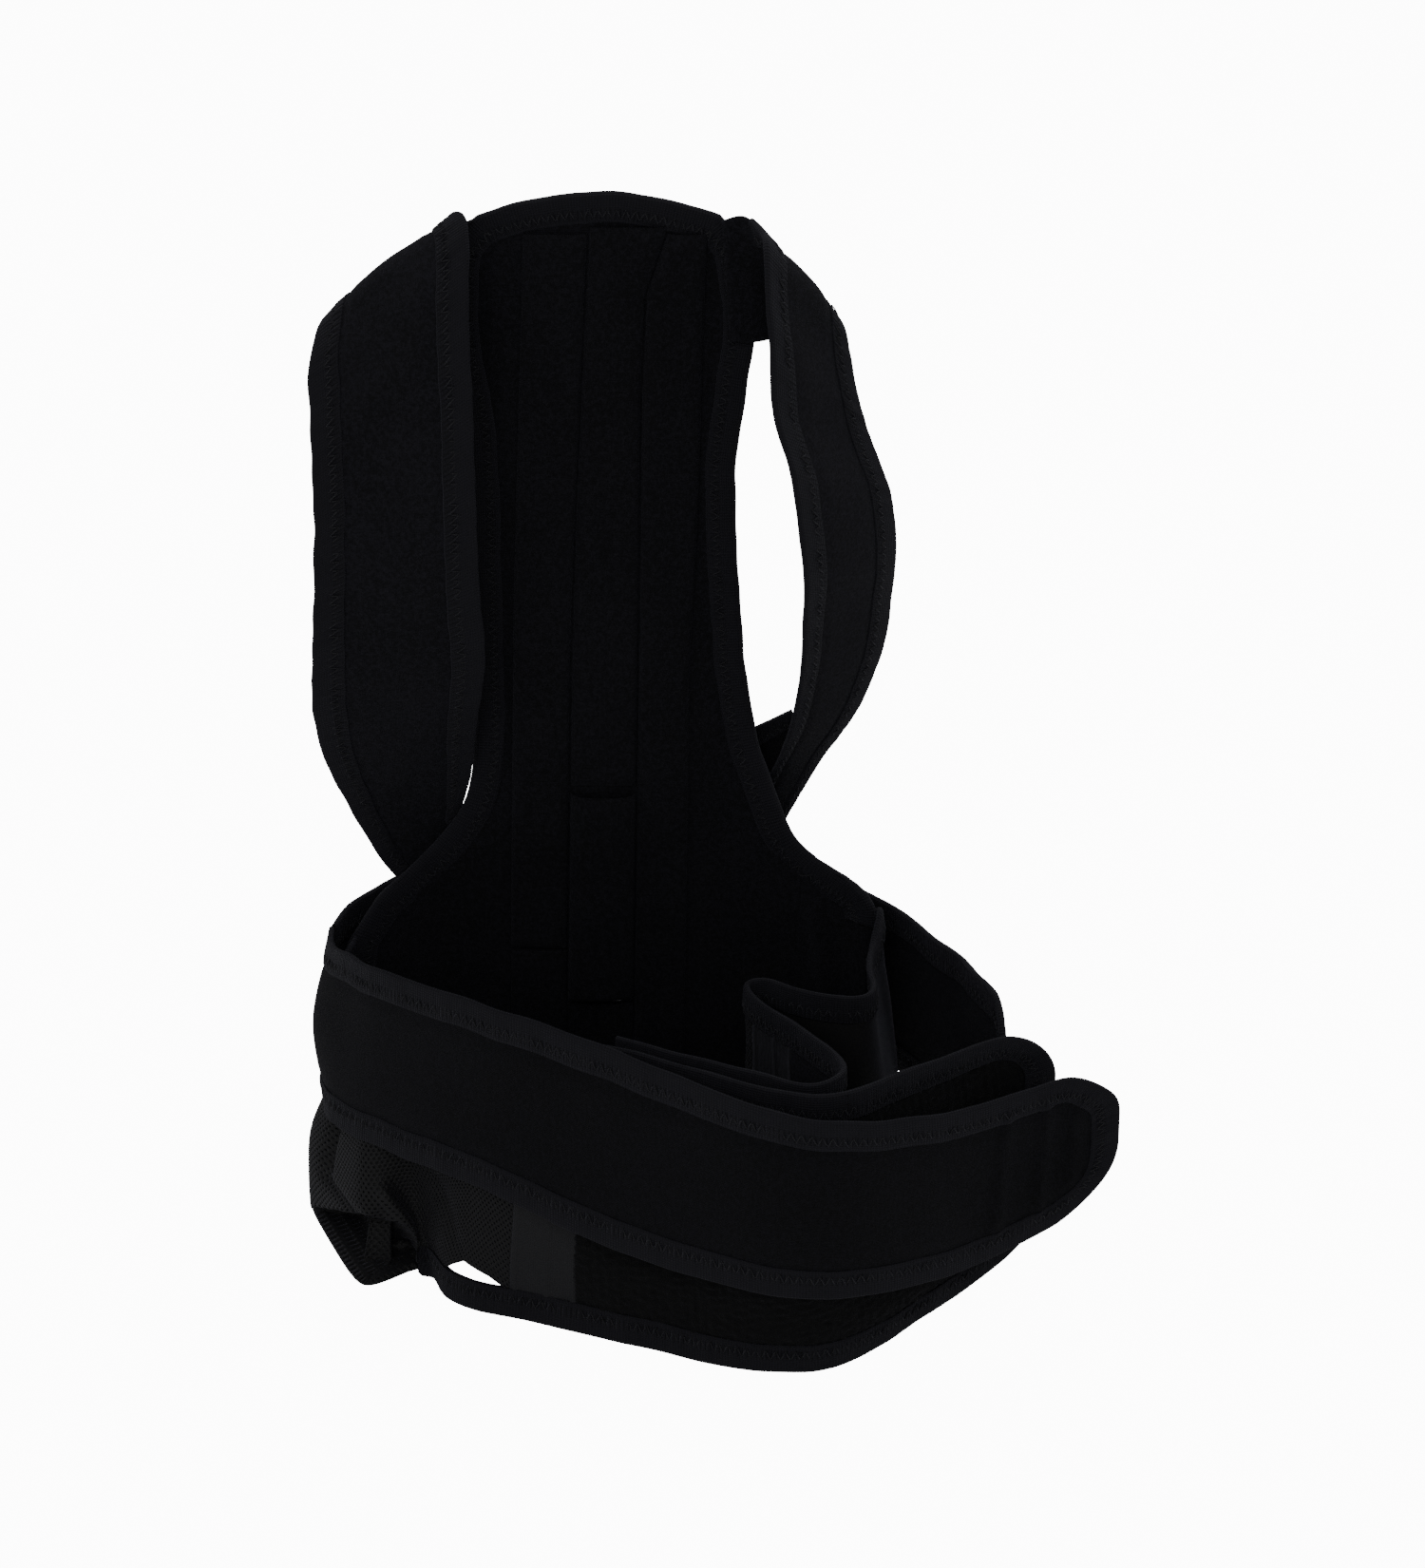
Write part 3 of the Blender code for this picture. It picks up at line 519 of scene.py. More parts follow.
def tape(name, place, path, height, seed, middle):
    """Elastic tape folded over an edge, with the small puckers that its stitching draws in."""
    path, run = resample(path, TAPE_STEP)
    inward = inward_of(path)
    outer, inner = fold_section(height, TAPE_WIDTH, TAPE_WALL)
    section = np.vstack([outer, inner[::-1]])
    pucker = waves(0.00022, 0.010, seed)(run, 0 * run) + 0.00010 * np.sin(math.tau * run / ZIGZAG_PITCH)
    sway = waves(0.00025, 0.030, seed + 50)(run, 0 * run)
    d = section[None, :, 0] + sway[:, None]
    grip = np.exp(-(((section[None, :, 0] - sum(ZIGZAG_REACH) / 2) / 0.004) ** 2))
    h = section[None, :, 1] * (1 + (pucker[:, None] * (0.4 + grip)) / height) + middle
    spot = path[:, None, :] + inward[:, None, :] * d[..., None]
    rings = place(spot[..., 0], spot[..., 1], h)
    uvs = np.stack(np.broadcast_arrays(run[:, None], running_length(section)[None, :]), -1)
    return swept_body(name, rings, uvs, TAPE)


def threads(name, lines):
    """Threads as one object: each line is its points and the surface's normals there."""
    points, quads, uvs, first = [], [], [], 0
    turn = np.arange(4) * math.pi / 2
    for line, above in lines:
        across = unit(np.cross(unit(np.gradient(line, axis=0)), above))
        around = np.cos(turn)[:, None] * above[:, None] + np.sin(turn)[:, None] * across[:, None]
        index = np.arange(len(line) * 4).reshape(-1, 4) + first
        quads += [quads_of(np.concatenate([index, index[:, :1]], 1)), index[:1, ::-1], index[-1:]]
        points.append((line[:, None] + THREAD_RADIUS * around).reshape(-1, 3))
        places = np.broadcast_arrays(running_length(line)[:, None], turn * THREAD_RADIUS)
        uvs.append(np.stack(places, -1).reshape(-1, 2))
        first += index.size
    return mesh_object(name, np.vstack(points), np.vstack(quads), np.vstack(uvs), THREAD)


def on_surface(place, s, t, h):
    """Points on a surface and its normals there, turned to the side that h is on."""
    line = place(s, t, h)
    return line, unit(place(s, t, h + np.where(np.asarray(h) < 0, -0.001, 0.001)) - line)


def zigzag(name, place, path, height):
    """The zigzag stitch that holds a tape down, on both of its sides."""
    path, run = resample(path, ZIGZAG_PITCH / 6)
    inward = inward_of(path)
    phase = (run / ZIGZAG_PITCH) % 1
    swing = 1 - np.abs(2 * phase - 1)
    d = ZIGZAG_REACH[0] + (ZIGZAG_REACH[1] - ZIGZAG_REACH[0]) * swing
    lift = height * 1.03 + 0.00015 - 0.00035 * np.abs(2 * swing - 1) ** 3
    spot = path + inward * d[:, None]
    lines = [on_surface(place, spot[:, 0], spot[:, 1], side * lift) for side in (1, -1)]
    return threads(name, lines)


def net(name, strip, s_span, t_span, low_edge=None):
    """Air mesh: rows of six-sided holes, each row half a pitch along from the last. Where low_edge
    lifts its edge, the rows above crowd together."""
    columns = int((s_span[1] - s_span[0]) / NET_PITCH[0])
    rows = int((t_span[1] - t_span[0]) / NET_PITCH[1])
    wide, tall = (s_span[1] - s_span[0]) / columns, (t_span[1] - t_span[0]) / rows
    k, r = np.meshgrid(np.arange(2 * columns + 1), np.arange(rows + 1), indexing="ij")
    corner = np.stack([s_span[0] + k * wide / 2, t_span[0] + r * tall], -1).reshape(-1, 2)

    def corner_at(column, row):
        return column * (rows + 1) + row

    c, r = (v.ravel() for v in np.meshgrid(np.arange(columns), np.arange(rows), indexing="ij"))
    whole = (r % 2 == 0) | (c < columns - 1)
    c, r = c[whole], r[whole]
    left = 2 * c + r % 2
    around = ((0, 0), (1, 0), (2, 0), (2, 1), (1, 1), (0, 1))
    outer = np.stack([corner_at(left + across, r + up) for across, up in around], 1)
    middle = np.stack([s_span[0] + (left + 1) * wide / 2, t_span[0] + (r + 0.5) * tall], -1)
    hexagon = np.array([[-0.24, -0.25], [0, -0.36], [0.24, -0.25], [0.24, 0.25], [0, 0.36], [-0.24, 0.25]])
    hole = middle[:, None] + 0.85 * hexagon * [wide, tall]
    inner = len(corner) + np.arange(len(c) * 6).reshape(-1, 6)
    spots = np.vstack([corner, hole.reshape(-1, 2)])
    size = len(spots)
    ring, walls = [], []
    for i in range(6):
        ahead = (i + 1) % 6
        ring.append(np.stack([outer[:, i], outer[:, ahead], inner[:, ahead], inner[:, i]], 1))
        walls.append(np.stack([inner[:, i], inner[:, ahead], inner[:, ahead] + size, inner[:, i] + size], 1))
    odd = np.arange(1, rows, 2)
    for column in (0, 2 * columns - 1):
        ring.append(np.stack([corner_at(column, odd), corner_at(column + 1, odd),
                              corner_at(column + 1, odd + 1), corner_at(column, odd + 1)], 1))
    face = np.vstack(ring)
    walls.append(rim_quads(np.arange(len(corner)).reshape(2 * columns + 1, rows + 1), size))
    quads = np.vstack([face, face[:, ::-1] + size, *walls])
    s, t = spots[:, 0], spots[:, 1]
    if low_edge:
        t = t + (low_edge(s) - t_span[0]) * (t_span[1] - t) / (t_span[1] - t_span[0])
    yarn = np.concatenate([np.full(len(corner), YARN_HALF), np.full(len(hole) * 6, YARN_HALF * 0.55)])
    points = np.vstack([strip.at(s, t, yarn), strip.at(s, t, -yarn)])
    return mesh_object(name, points, quads, np.vstack([spots, spots]), MESH)


# Materials


class Graph:
    """A material's node tree, built node by node."""

    def __init__(self, name, sheen=0.0, metallic=0.0, specular=0.35):
        self.material = bpy.data.materials.new(name)
        self.material.use_nodes = True
        self.tree = self.material.node_tree
        self.shader = self.tree.nodes["Principled BSDF"]
        self.shader.inputs["Metallic"].default_value = metallic
        self.shader.inputs["Specular IOR Level"].default_value = specular
        self.shader.inputs["Sheen Weight"].default_value = sheen
        self.shader.inputs["Sheen Roughness"].default_value = 0.45
        self.shader.inputs["Sheen Tint"].default_value = (0.62, 0.62, 0.78, 1.0)
        places = self.tree.nodes.new("ShaderNodeTexCoord")
        split = self.tree.nodes.new("ShaderNodeSeparateXYZ")
        self.tree.links.new(places.outputs["UV"], split.inputs[0])
        self.u, self.v = split.outputs[0], split.outputs[1]
        self.place = places.outputs["Object"]

    def node(self, kind, **settings):
        made = self.tree.nodes.new(kind)
        for key, value in settings.items():
            setattr(made, key, value)
        return made

    def put(self, socket, value):
        if isinstance(value, bpy.types.NodeSocket):
            self.tree.links.new(value, socket)
        else:
            socket.default_value = value

    def math(self, operation, *values):
        made = self.node("ShaderNodeMath", operation=operation)
        for socket, value in zip(made.inputs, values):
            self.put(socket, value)
        return made.outputs[0]

    def noise(self, scale, detail=2.0, places=None, roughness=0.55):
        made = self.node("ShaderNodeTexNoise")
        self.put(made.inputs["Vector"], self.place if places is None else places)
        made.inputs["Scale"].default_value = scale
        made.inputs["Detail"].default_value = detail
        made.inputs["Roughness"].default_value = roughness
        return made.outputs["Fac"]

    def ribs(self, along, pitch):
        """Waves from 0 to 1 with that pitch in metres along u or v."""
        turned = self.math("MULTIPLY", along, math.tau / pitch)
        return self.math("MULTIPLY_ADD", self.math("SINE", turned), 0.5, 0.5)

    def span(self, value, low, high):
        """value taken from 0..1 to low..high."""
        return self.math("MULTIPLY_ADD", value, high - low, low)

    def colour(self, dark, light, share):
        mix = self.node("ShaderNodeMix", data_type="RGBA")
        self.put(mix.inputs["Factor"], share)
        mix.inputs["A"].default_value = (*dark, 1.0)
        mix.inputs["B"].default_value = (*light, 1.0)
        self.tree.links.new(mix.outputs["Result"], self.shader.inputs["Base Color"])

    def finish(self, roughness, height, depth, strength=1.0):
        """Sets the roughness and a bump that deep. Returns the material."""
        self.put(self.shader.inputs["Roughness"], roughness)
        made = self.node("ShaderNodeBump")
        made.inputs["Strength"].default_value = strength
        made.inputs["Distance"].default_value = depth
        self.put(made.inputs["Height"], height)
        self.tree.links.new(made.outputs["Normal"], self.shader.inputs["Normal"])
        return self.material


def knit_look(name="black_knit", gain=1.0):
    """Brushed knit laminate: fine wales, a short nap and slightly rubbed patches."""
    g = Graph(name, sheen=0.06, specular=0.25)
    wales = g.ribs(g.v, 0.00075)
    courses = g.ribs(g.u, 0.0006)
    loops = g.math("MULTIPLY", wales, courses)
    nap = g.noise(900, 3.0)
    fuzz = g.noise(420, 2.0)
    rubbed = g.noise(16, 2.0)
    speckle = g.math("MULTIPLY_ADD", g.math("MULTIPLY", nap, fuzz), 5.0, -0.85)
    share = g.math("ADD", speckle, g.math("MULTIPLY_ADD", rubbed, 0.9, -0.40))
    # gain scales both tones: above 1 it paints light on the knit, below 1 it paints shade
    g.colour([gain * c for c in KNIT_DARK], [gain * c for c in KNIT_LIGHT], share)
    relief = g.math("ADD", g.math("MULTIPLY", loops, 0.6), nap)
    return g.finish(g.span(fuzz, 0.80, 1.0), relief, 0.00040)


def tape_look():
    """Knitted elastic tape: ribs along it, finer picks across, and dents where the stitch bites, darkened
    with painted shade.
    """
    g = Graph("black_elastic_tape", sheen=0.08, specular=0.3)
    ribs = g.ribs(g.v, 0.0011)
    picks = g.ribs(g.u, 0.0014)
    weave = g.math("ADD", g.math("MULTIPLY", ribs, 0.5), g.math("MULTIPLY", picks, 0.7))
    fibre = g.noise(1800, 2.0)
    worn = g.noise(60, 2.0)
    front, back = (g.math("COMPARE", g.v, middle, BITE_REACH) for middle in BITE_MIDDLES)
    bars = g.math("POWER", g.ribs(g.u, ZIGZAG_PITCH / 2), 3.0)
    bite_dent_and_shade = g.math("MULTIPLY", bars, g.math("MAXIMUM", front, back))
    share = g.math("MULTIPLY", g.math("ADD", weave, fibre), g.span(worn, 0.35, 0.75))
    # The colour darkens at the stitch bites: painted shade in the dents that the bump below also makes
    g.colour(TAPE_DARK, TAPE_LIGHT, g.math("MULTIPLY", share, g.span(bite_dent_and_shade, 1.0, 0.15)))
    relief = g.math("ADD", weave, g.math("MULTIPLY", fibre, 0.5))
    return g.finish(g.span(fibre, 0.68, 0.92), g.math("MULTIPLY_ADD", bite_dent_and_shade, -1.6, relief), 0.00040)


def webbing_look():
    """Flat woven elastic: fine picks across the band and a smoother sheen."""
    g = Graph("black_webbing", sheen=0.15, specular=0.45)
    picks = g.ribs(g.u, 0.0010)
    ends = g.ribs(g.v, 0.0007)
    weave = g.math("ADD", g.math("MULTIPLY", picks, 0.6), g.math("MULTIPLY", ends, 0.5))
    haze = g.noise(45, 3.0)
    g.colour(TAPE_DARK, WEBBING_LIGHT, g.math("MULTIPLY", g.math("ADD", weave, 0.4), haze))
    return g.finish(g.span(haze, 0.5, 0.75), weave, 0.00020, 0.8)


def mesh_look():
    """Knitted polyester yarn of the air mesh."""
    g = Graph("black_air_mesh", sheen=0.12, specular=0.45)
    yarn = g.noise(2400, 2.0)
    shade = g.noise(30, 2.0)
    g.colour(MESH_DARK, MESH_LIGHT, g.math("MULTIPLY", yarn, g.span(shade, 0.5, 1.4)))
    return g.finish(g.span(yarn, 0.5, 0.8), yarn, 0.00020, 0.8)


def pile_look():
    """Brushed loop pile: tangled curls, with painted shade between the tufts where its bump lies low."""
    g = Graph("black_loop_pile", sheen=0.08)
    curls = g.noise(520, 3.0, roughness=0.7)
    tufts = g.noise(170, 2.0)
    depth = g.math("MULTIPLY", curls, tufts)
    # The colour follows the bump: partly the curls' own tone, partly painted shade where the tufts sink
    g.colour(PILE_DARK, PILE_LIGHT, g.math("MULTIPLY_ADD", depth, 2.4, -0.25))
    return g.finish(g.span(curls, 0.85, 1.0), g.math("ADD", curls, tufts), 0.0009)


def hook_look():
    """Moulded hook tape: rows of small hooks on a stiff base."""
    g = Graph("black_hook_tape", specular=0.5)
    rows = g.math("MULTIPLY", g.ribs(g.u, 0.0013), g.ribs(g.v, 0.0011))
    grain = g.noise(900, 2.0)
    g.colour(PILE_DARK, TAPE_LIGHT, g.math("MULTIPLY", rows, grain))
    return g.finish(g.span(grain, 0.4, 0.7), rows, 0.0007)


def thread_look():
    g = Graph("black_thread", sheen=0.2, specular=0.5)
    twist = g.ribs(g.u, 0.0006)
    g.colour(THREAD_DARK, THREAD_LIGHT, g.math("MULTIPLY", twist, g.noise(300, 2.0)))
    return g.finish(g.span(twist, 0.5, 0.7), twist, 0.00010, 0.8)


def foam_look():
    g = Graph("grey_foam")
    cells = g.noise(1400, 3.0)
    share = g.math("MULTIPLY", cells, g.span(g.noise(60), 0.6, 1.3))
    g.colour((0.05, 0.05, 0.055), (0.12, 0.12, 0.125), share)
    return g.finish(g.span(cells, 0.85, 1.0), cells, 0.0004, 0.9)


def steel_look():
    g = Graph("spring_steel", metallic=1.0, specular=0.5)
    brushed = g.node("ShaderNodeMapping")
    brushed.inputs["Scale"].default_value = (1.0, 1.0, 0.03)
    g.put(brushed.inputs["Vector"], g.place)
    lines = g.noise(2500, 2.0, places=brushed.outputs[0])
    share = g.math("MULTIPLY", lines, g.span(g.noise(90), 0.7, 1.2))
    g.colour((0.36, 0.36, 0.38), (0.55, 0.55, 0.56), share)
    return g.finish(g.span(lines, 0.25, 0.45), lines, 0.00005, 0.5)


def seen_brighter(tree, glow_kind, lit, output):
    """Adds to a stage surface the brightness that only the camera sees, so that it reads as white."""
    glow = tree.nodes.new(glow_kind)
    rays = tree.nodes.new("ShaderNodeLightPath")
    scaled = tree.nodes.new("ShaderNodeMath")
    scaled.operation = "MULTIPLY"
    scaled.inputs[1].default_value = BACKDROP_STRENGTH
    both = tree.nodes.new("ShaderNodeAddShader")
    tree.links.new(rays.outputs["Is Camera Ray"], scaled.inputs[0])
    tree.links.new(scaled.outputs[0], glow.inputs["Strength"])
    tree.links.new(lit, both.inputs[0])
    tree.links.new(glow.outputs[0], both.inputs[1])
    tree.links.new(both.outputs[0], output.inputs["Surface"])


def floor_look():
    """A plain white sweep, bright enough to read as the pale backdrop."""
    g = Graph("pale_floor")
    tone = g.noise(3.0, 2.0)
    g.colour((0.86, 0.86, 0.86), (0.9, 0.9, 0.9), tone)
    seen_brighter(g.tree, "ShaderNodeEmission", g.shader.outputs[0], g.tree.nodes["Material Output"])
    return g.finish(0.9, tone, 0.0002, 0.1)


# Pieces

TAPE, KNIT, THREAD = tape_look(), knit_look(), thread_look()
# Lighter and darker copies of the same knit: painted light on the shoulder straps, painted shade on the
# tails and the strap crossings
KNIT_PAINTED_LIGHTER, KNIT_PAINTED_DARKER = knit_look("knit_painted_lighter", 1.22), knit_look("knit_painted_darker", 0.62)
WEBBING, MESH, PILE, HOOK, FOAM = webbing_look(), mesh_look(), pile_look(), hook_look(), foam_look()


def place_piece(piece, body, nodes=(), blend=None):
    """Puts a finished piece on its body, or, given blend, bakes its placement into its mesh instead, in
    place of its CAD nodes.
    """
    if blend:
        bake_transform(piece)
    else:
        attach(piece, body)
    if nodes:
        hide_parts(*nodes)


def edge_path(strip, high, start=0.0):
    """The path of a binding along one edge, with the cloth on its left."""
    if high:
        return [(strip.length, strip.width), (start, strip.width)]
    return [(start, 0.0), (strip.length, 0.0)]


def tip_path(strip, radius):
    """Out along the low edge, round the free end and back along the high edge."""
    centre = strip.length - radius
    turn = np.radians(np.arange(0, 91, 6))
    low_arc = [(centre + radius * math.sin(a), radius - radius * math.cos(a)) for a in turn]
    high_arc = [(s, strip.width - t) for s, t in reversed(low_arc)]
    return [(0.0, 0.0), *low_arc, *high_arc, (0.0, strip.width)]


def bound_edge(name, place, path, body, nodes, blend=None, height=TAPE_HEIGHT, seed=1, middle=0.0):
    """A folded tape with its zigzag stitch. Returns both pieces."""
    folded = tape(f"{name}_tape", place, path, height, seed, middle)
    stitched = zigzag(f"{name}_stitch", lambda s, t, h: place(s, t, h + middle), path, height)
    place_piece(folded, body, nodes, blend)
    place_piece(stitched, body, (), blend)
    return [folded, stitched]


def bound_strap(name, strip, edges, body, blend=None, start=0.0, look=KNIT_PAINTED_DARKER):
    """A strap's cloth with a stitched tape along each of its two named edges, from start on."""
    web = cloth(f"{name}_cloth", strip, look)
    place_piece(web, body, [name], blend)
    trims = []
    for k, (edge, high) in enumerate(zip(edges, (False, True))):
        node = f"{name}_{edge}_binding"
        trims += bound_edge(node, strip.at, edge_path(strip, high, start), body, [node], blend,
                            seed=10 * k + len(name))


def tailed_strap(name, strip, radius, hook_span, body):
    """A strap with a rounded free end, one tape right round it, and a hook patch near its end."""
    web = cloth(f"{name}_cloth", strip, KNIT_PAINTED_DARKER, tip=radius)
    place_piece(web, body, [name])
    node = f"{name}_binding"
    trims = bound_edge(node, strip.at, tip_path(strip, radius), body, [node], seed=len(name))
    margin = TAPE_WIDTH + 0.006
    patch = cloth(f"{name}_hooks", strip, HOOK, span=hook_span, band=(margin, strip.width - margin),
                  heights=(-CLOTH_HALF - 0.0016, -CLOTH_HALF - 0.0001), thin=0.98)
    place_piece(patch, body, [f"{name}_hook_patch"])


# Back panel


def panel_reliefs():
    """The panel's own softness: slight waves, and a soft fold down the right waist flare."""
    return together(waves(0.0007, 0.085, 3), crease((0.104, 0.150), (0.110, 0.098), 0.0045, 0.0034),
                    crease((-0.098, 0.150), (-0.075, 0.120), 0.007, 0.0012))


def panel_cloth(name, panel, look, outer, inner, inset=CLOTH_EDGE):
    """One full layer of the hourglass panel, pressed thin where the tape holds its edge."""
    rise_from = 0.435
    top_z = PANEL_CORNER_Z - inset
    rows = np.linspace(inset, top_z, int(top_z / CLOTH_STEP))[:, None]
    across = np.linspace(-1, 1, 121)[None, :]
    half = np.where(across < 0, panel.half_width(rows, -1), panel.half_width(rows, 1)) - inset
    x = across * half
    rise = np.maximum(0.0, (rows - rise_from) / (top_z - rise_from)) ** 2
    z = rows + panel.dome(x) * rise
    depth = np.minimum(half - np.abs(x), np.minimum(panel.top(x) - z, z))
    swell = edge_swell(depth, 0.62)
    top = panel.at(x, z, outer * swell)
    bottom = panel.at(x, z, inner)
    return sheet_body(name, top, bottom, np.stack([x, z], -1), look)


def seam(*points):
    """x of a seam by z, from (z, x) points going up."""
    z, x = zip(*points)
    return lambda at: np.interp(at, z, x)


SEAM_A = seam((0.088, -0.0485), (0.299, -0.0429), (0.489, -0.0345))
SEAM_B = seam((0.088, -0.0200), (0.270, -0.0155), (0.351, -0.0120), (0.489, -0.0042))
SEAM_C = seam((0.068, 0.0126), (0.299, 0.0172), (0.404, 0.0190), (0.455, 0.0215), (0.484, 0.0312))
SEAM_D = seam((0.068, 0.0387), (0.270, 0.0416), (0.339, 0.0453), (0.477, 0.0498))


def channel(name, panel, left, right, z_span, rise, seed, mouth=0.0, squareness=5.0):
    """A sewn channel on the lining: an arched strip of knit between two seams, puckered along them.
    mouth lifts its top edge, where that is left open."""
    base, wall = PANEL_FRONT + 0.0004, 0.0010
    low, high = z_span
    rows = np.linspace(low, high, int((high - low) / 0.0018))[:, None]
    share = np.linspace(0, 1, 27)[None, :]
    a, b = left(rows) + 0.0004, right(rows) - 0.0004
    x = a + (b - a) * share
    arch = np.sqrt(np.maximum(1 - np.abs(2 * share - 1) ** squareness, 0))
    closing = smoothstep(rows, low, low + 0.005)
    if not mouth:
        closing = closing * (1 - smoothstep(rows, high - 0.005, high) * 0.6)
    seam_near = np.exp(-((np.minimum(share, 1 - share) * (b - a) / 0.0045) ** 2))
    drift = 2 * waves(1.0, 0.03, seed)(rows, 0 * rows)
    pucker = 0.00035 * np.sin(math.tau * rows / 0.0085 + drift) * seam_near
    soft = waves(0.00045, 0.030, seed + 7)(x, rows)
    lip = mouth * smoothstep(rows, high - 0.012, high)
    height = base + arch * ((rise + soft) * closing + pucker + lip)
    under = np.maximum(height - wall, base - 0.0002)
    top = panel.at(x, rows + 0 * x, height)
    bottom = panel.at(x, rows + 0 * x, np.minimum(under, height - 0.0002))
    return sheet_body(name, top, bottom, np.stack([x, rows + 0 * x], -1), KNIT)


def patch(name, panel, left, right, z_span):
    """A flat sewn patch on the lining, with its edge pressed down."""
    low, high = z_span
    rows = np.linspace(low, high, int((high - low) / 0.0020))[:, None]
    share = np.linspace(0, 1, 19)[None, :]
    a, b = left(rows) + 0.0005, right(rows) - 0.0005
    x = a + (b - a) * share
    edge = np.minimum(np.minimum(share, 1 - share) * (b - a), np.minimum(rows - low, high - rows))
    height = PANEL_FRONT + 0.0004 + 0.0014 * smoothstep(edge, -0.001, 0.003)
    height = height + waves(0.0003, 0.03, 21)(x, rows)
    top = panel.at(x, rows + 0 * x, height)
    bottom = panel.at(x, rows + 0 * x, PANEL_FRONT + 0.0001)
    return sheet_body(name, top, bottom, np.stack([x, rows + 0 * x], -1), KNIT)


def back_panel():
    panel = Panel(panel_reliefs())
    lining = panel_cloth("back_lining_cloth", panel, KNIT, PANEL_FRONT, 0.0010)
    cover = panel_cloth("back_cover_cloth", panel, KNIT, PANEL_BACK, -0.0010)
    core = panel_cloth("back_foam_sheet", panel, FOAM, 0.0009, -0.0009, 0.006)
    place_piece(core, "back_panel", ["back_foam_core"])
    place_piece(lining, "back_panel", ["back_lining"])
    place_piece(cover, "back_panel", ["back_outer_cover"])
    heights = np.linspace(PANEL_TAPE_LOW, 0.481, 96)
    right = [(float(panel.half_width(z, 1)), z) for z in heights if z > RIGHT_TAPE_LOW]
    over = [(x, float(panel.top(x))) for x in np.linspace(0.0555, -0.0555, 40)]
    left = [(-float(panel.half_width(z, -1)), z) for z in reversed(heights)]
    upper = bound_edge("back_upper_binding", panel.at, right + over + left, "back_panel",
                       ["back_upper_binding"], height=PANEL_TAPE_HEIGHT, seed=4, middle=-0.0002)
    base = [(x, 0.0) for x in np.linspace(-0.1266, 0.1266, 60)]
    lower = bound_edge("back_lower_binding", panel.at, base, "back_panel", ["back_lower_binding"],
                       height=PANEL_TAPE_HEIGHT, seed=5, middle=-0.0002)
    channels(panel)
    lumbar(panel)


def channels(panel):
    """The three stay channels, and the flat patches below the left one and below the pocket."""
    made = [
        ("left", SEAM_A, SEAM_B, (0.1190, 0.484), 31),
        ("centre", SEAM_B, SEAM_C, (0.2070, 0.487), 32),
        ("right", SEAM_C, SEAM_D, (0.0180, 0.484), 33),
    ]
    for side, left, right, z_span, seed in made:
        clear = 0.0004 if side == "centre" else 0.0  # the lumbar insert slides past in front of it
        piece = channel(f"stay_channel_{side}_cloth", panel, left, right, z_span, CHANNEL_RISE - clear, seed)
        place_piece(piece, "back_panel", [f"stay_channel_{side}"])
        mean = (z_span[0] + z_span[1]) / 2
        width = float(right(mean) - left(mean))
    for node, left, right, z_span in (
        ("left_channel_end_patch", SEAM_A, SEAM_B, (0.0180, 0.1175)),
        ("pocket_lower_patch", SEAM_B, SEAM_C, (0.0180, 0.0880)),
    ):
        piece = patch(f"{node}_cloth", panel, left, right, z_span)
        place_piece(piece, "back_panel", [node])
        mean = sum(z_span) / 2
        float(right(mean) - left(mean))


def lumbar(panel):
    """The lumbar pocket with its free top edge, and the foam insert that slides up out of it."""
    pocket = channel("lumbar_pocket_cloth", panel, SEAM_B, SEAM_C, (0.0890, 0.2035), 0.0076, 34, 0.0004, 2.6)
    place_piece(pocket, "back_panel", ["lumbar_pocket"])
    low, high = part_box("lumbar_insert")
    z, u = np.meshgrid(np.linspace(low.z, high.z, 60), np.linspace(-1, 1, 21), indexing="ij")
    x = (low.x + high.x) / 2 + u * (high.x - low.x) / 2 * 0.97
    lengthwise = 2 * (z - low.z) / (high.z - low.z) - 1
    crown = np.sqrt(np.maximum(1 - np.abs(u) ** 6, 0) * np.maximum(1 - np.abs(lengthwise) ** 26, 0))
    middle, half = (-low.y - high.y) / 2, (high.y - low.y) / 2
    top = np.stack([x, -(middle + half * crown), z], -1)
    bottom = np.stack([x, -(middle - 0.3 * half * crown), z], -1)
    pad = sheet_body("lumbar_insert_pad", top, bottom, np.stack([x, z], -1), FOAM)
    place_piece(pad, "lumbar_insert", ["lumbar_insert"])


# Straps and belt


def shoulder_straps():
    """Both shoulder straps, and their crossings behind the panel."""
    left_folds = together(bulge(0.024 + STRAP_LEAD, 0.044, 0.012, 0.026, -0.0050), waves(0.0007, 0.06, 41))
    right_folds = together(bulge(0.040, 0.030, 0.013, 0.022, -0.0030), waves(0.0007, 0.06, 42))
    left_bend = ("left_shoulder_loop", "back_panel", (-0.1150, -0.016, 0.225), (-0.0960, 0.004, 0.172))
    right_bend = ("right_shoulder_loop", "back_panel", (0.1030, -0.004, 0.245), (0.0880, 0.008, 0.204))
    bound_strap("left_shoulder_strap", Strip(LEFT_STRAP, left_folds), ("inner", "outer"),
                "left_shoulder_loop", left_bend, look=KNIT_PAINTED_LIGHTER)
    bound_strap("right_shoulder_strap", Strip(RIGHT_STRAP, right_folds), ("outer", "inner"),
                "right_shoulder_loop", right_bend, start=0.022, look=KNIT_PAINTED_LIGHTER)
    bound_strap("left_strap_crossing", Strip(LEFT_CROSSING, waves(0.0005, 0.07, 43)), ("upper", "lower"),
                "back_panel")
    bound_strap("right_strap_crossing", Strip(RIGHT_CROSSING, waves(0.0005, 0.07, 44)), ("lower", "upper"),
                "back_panel")


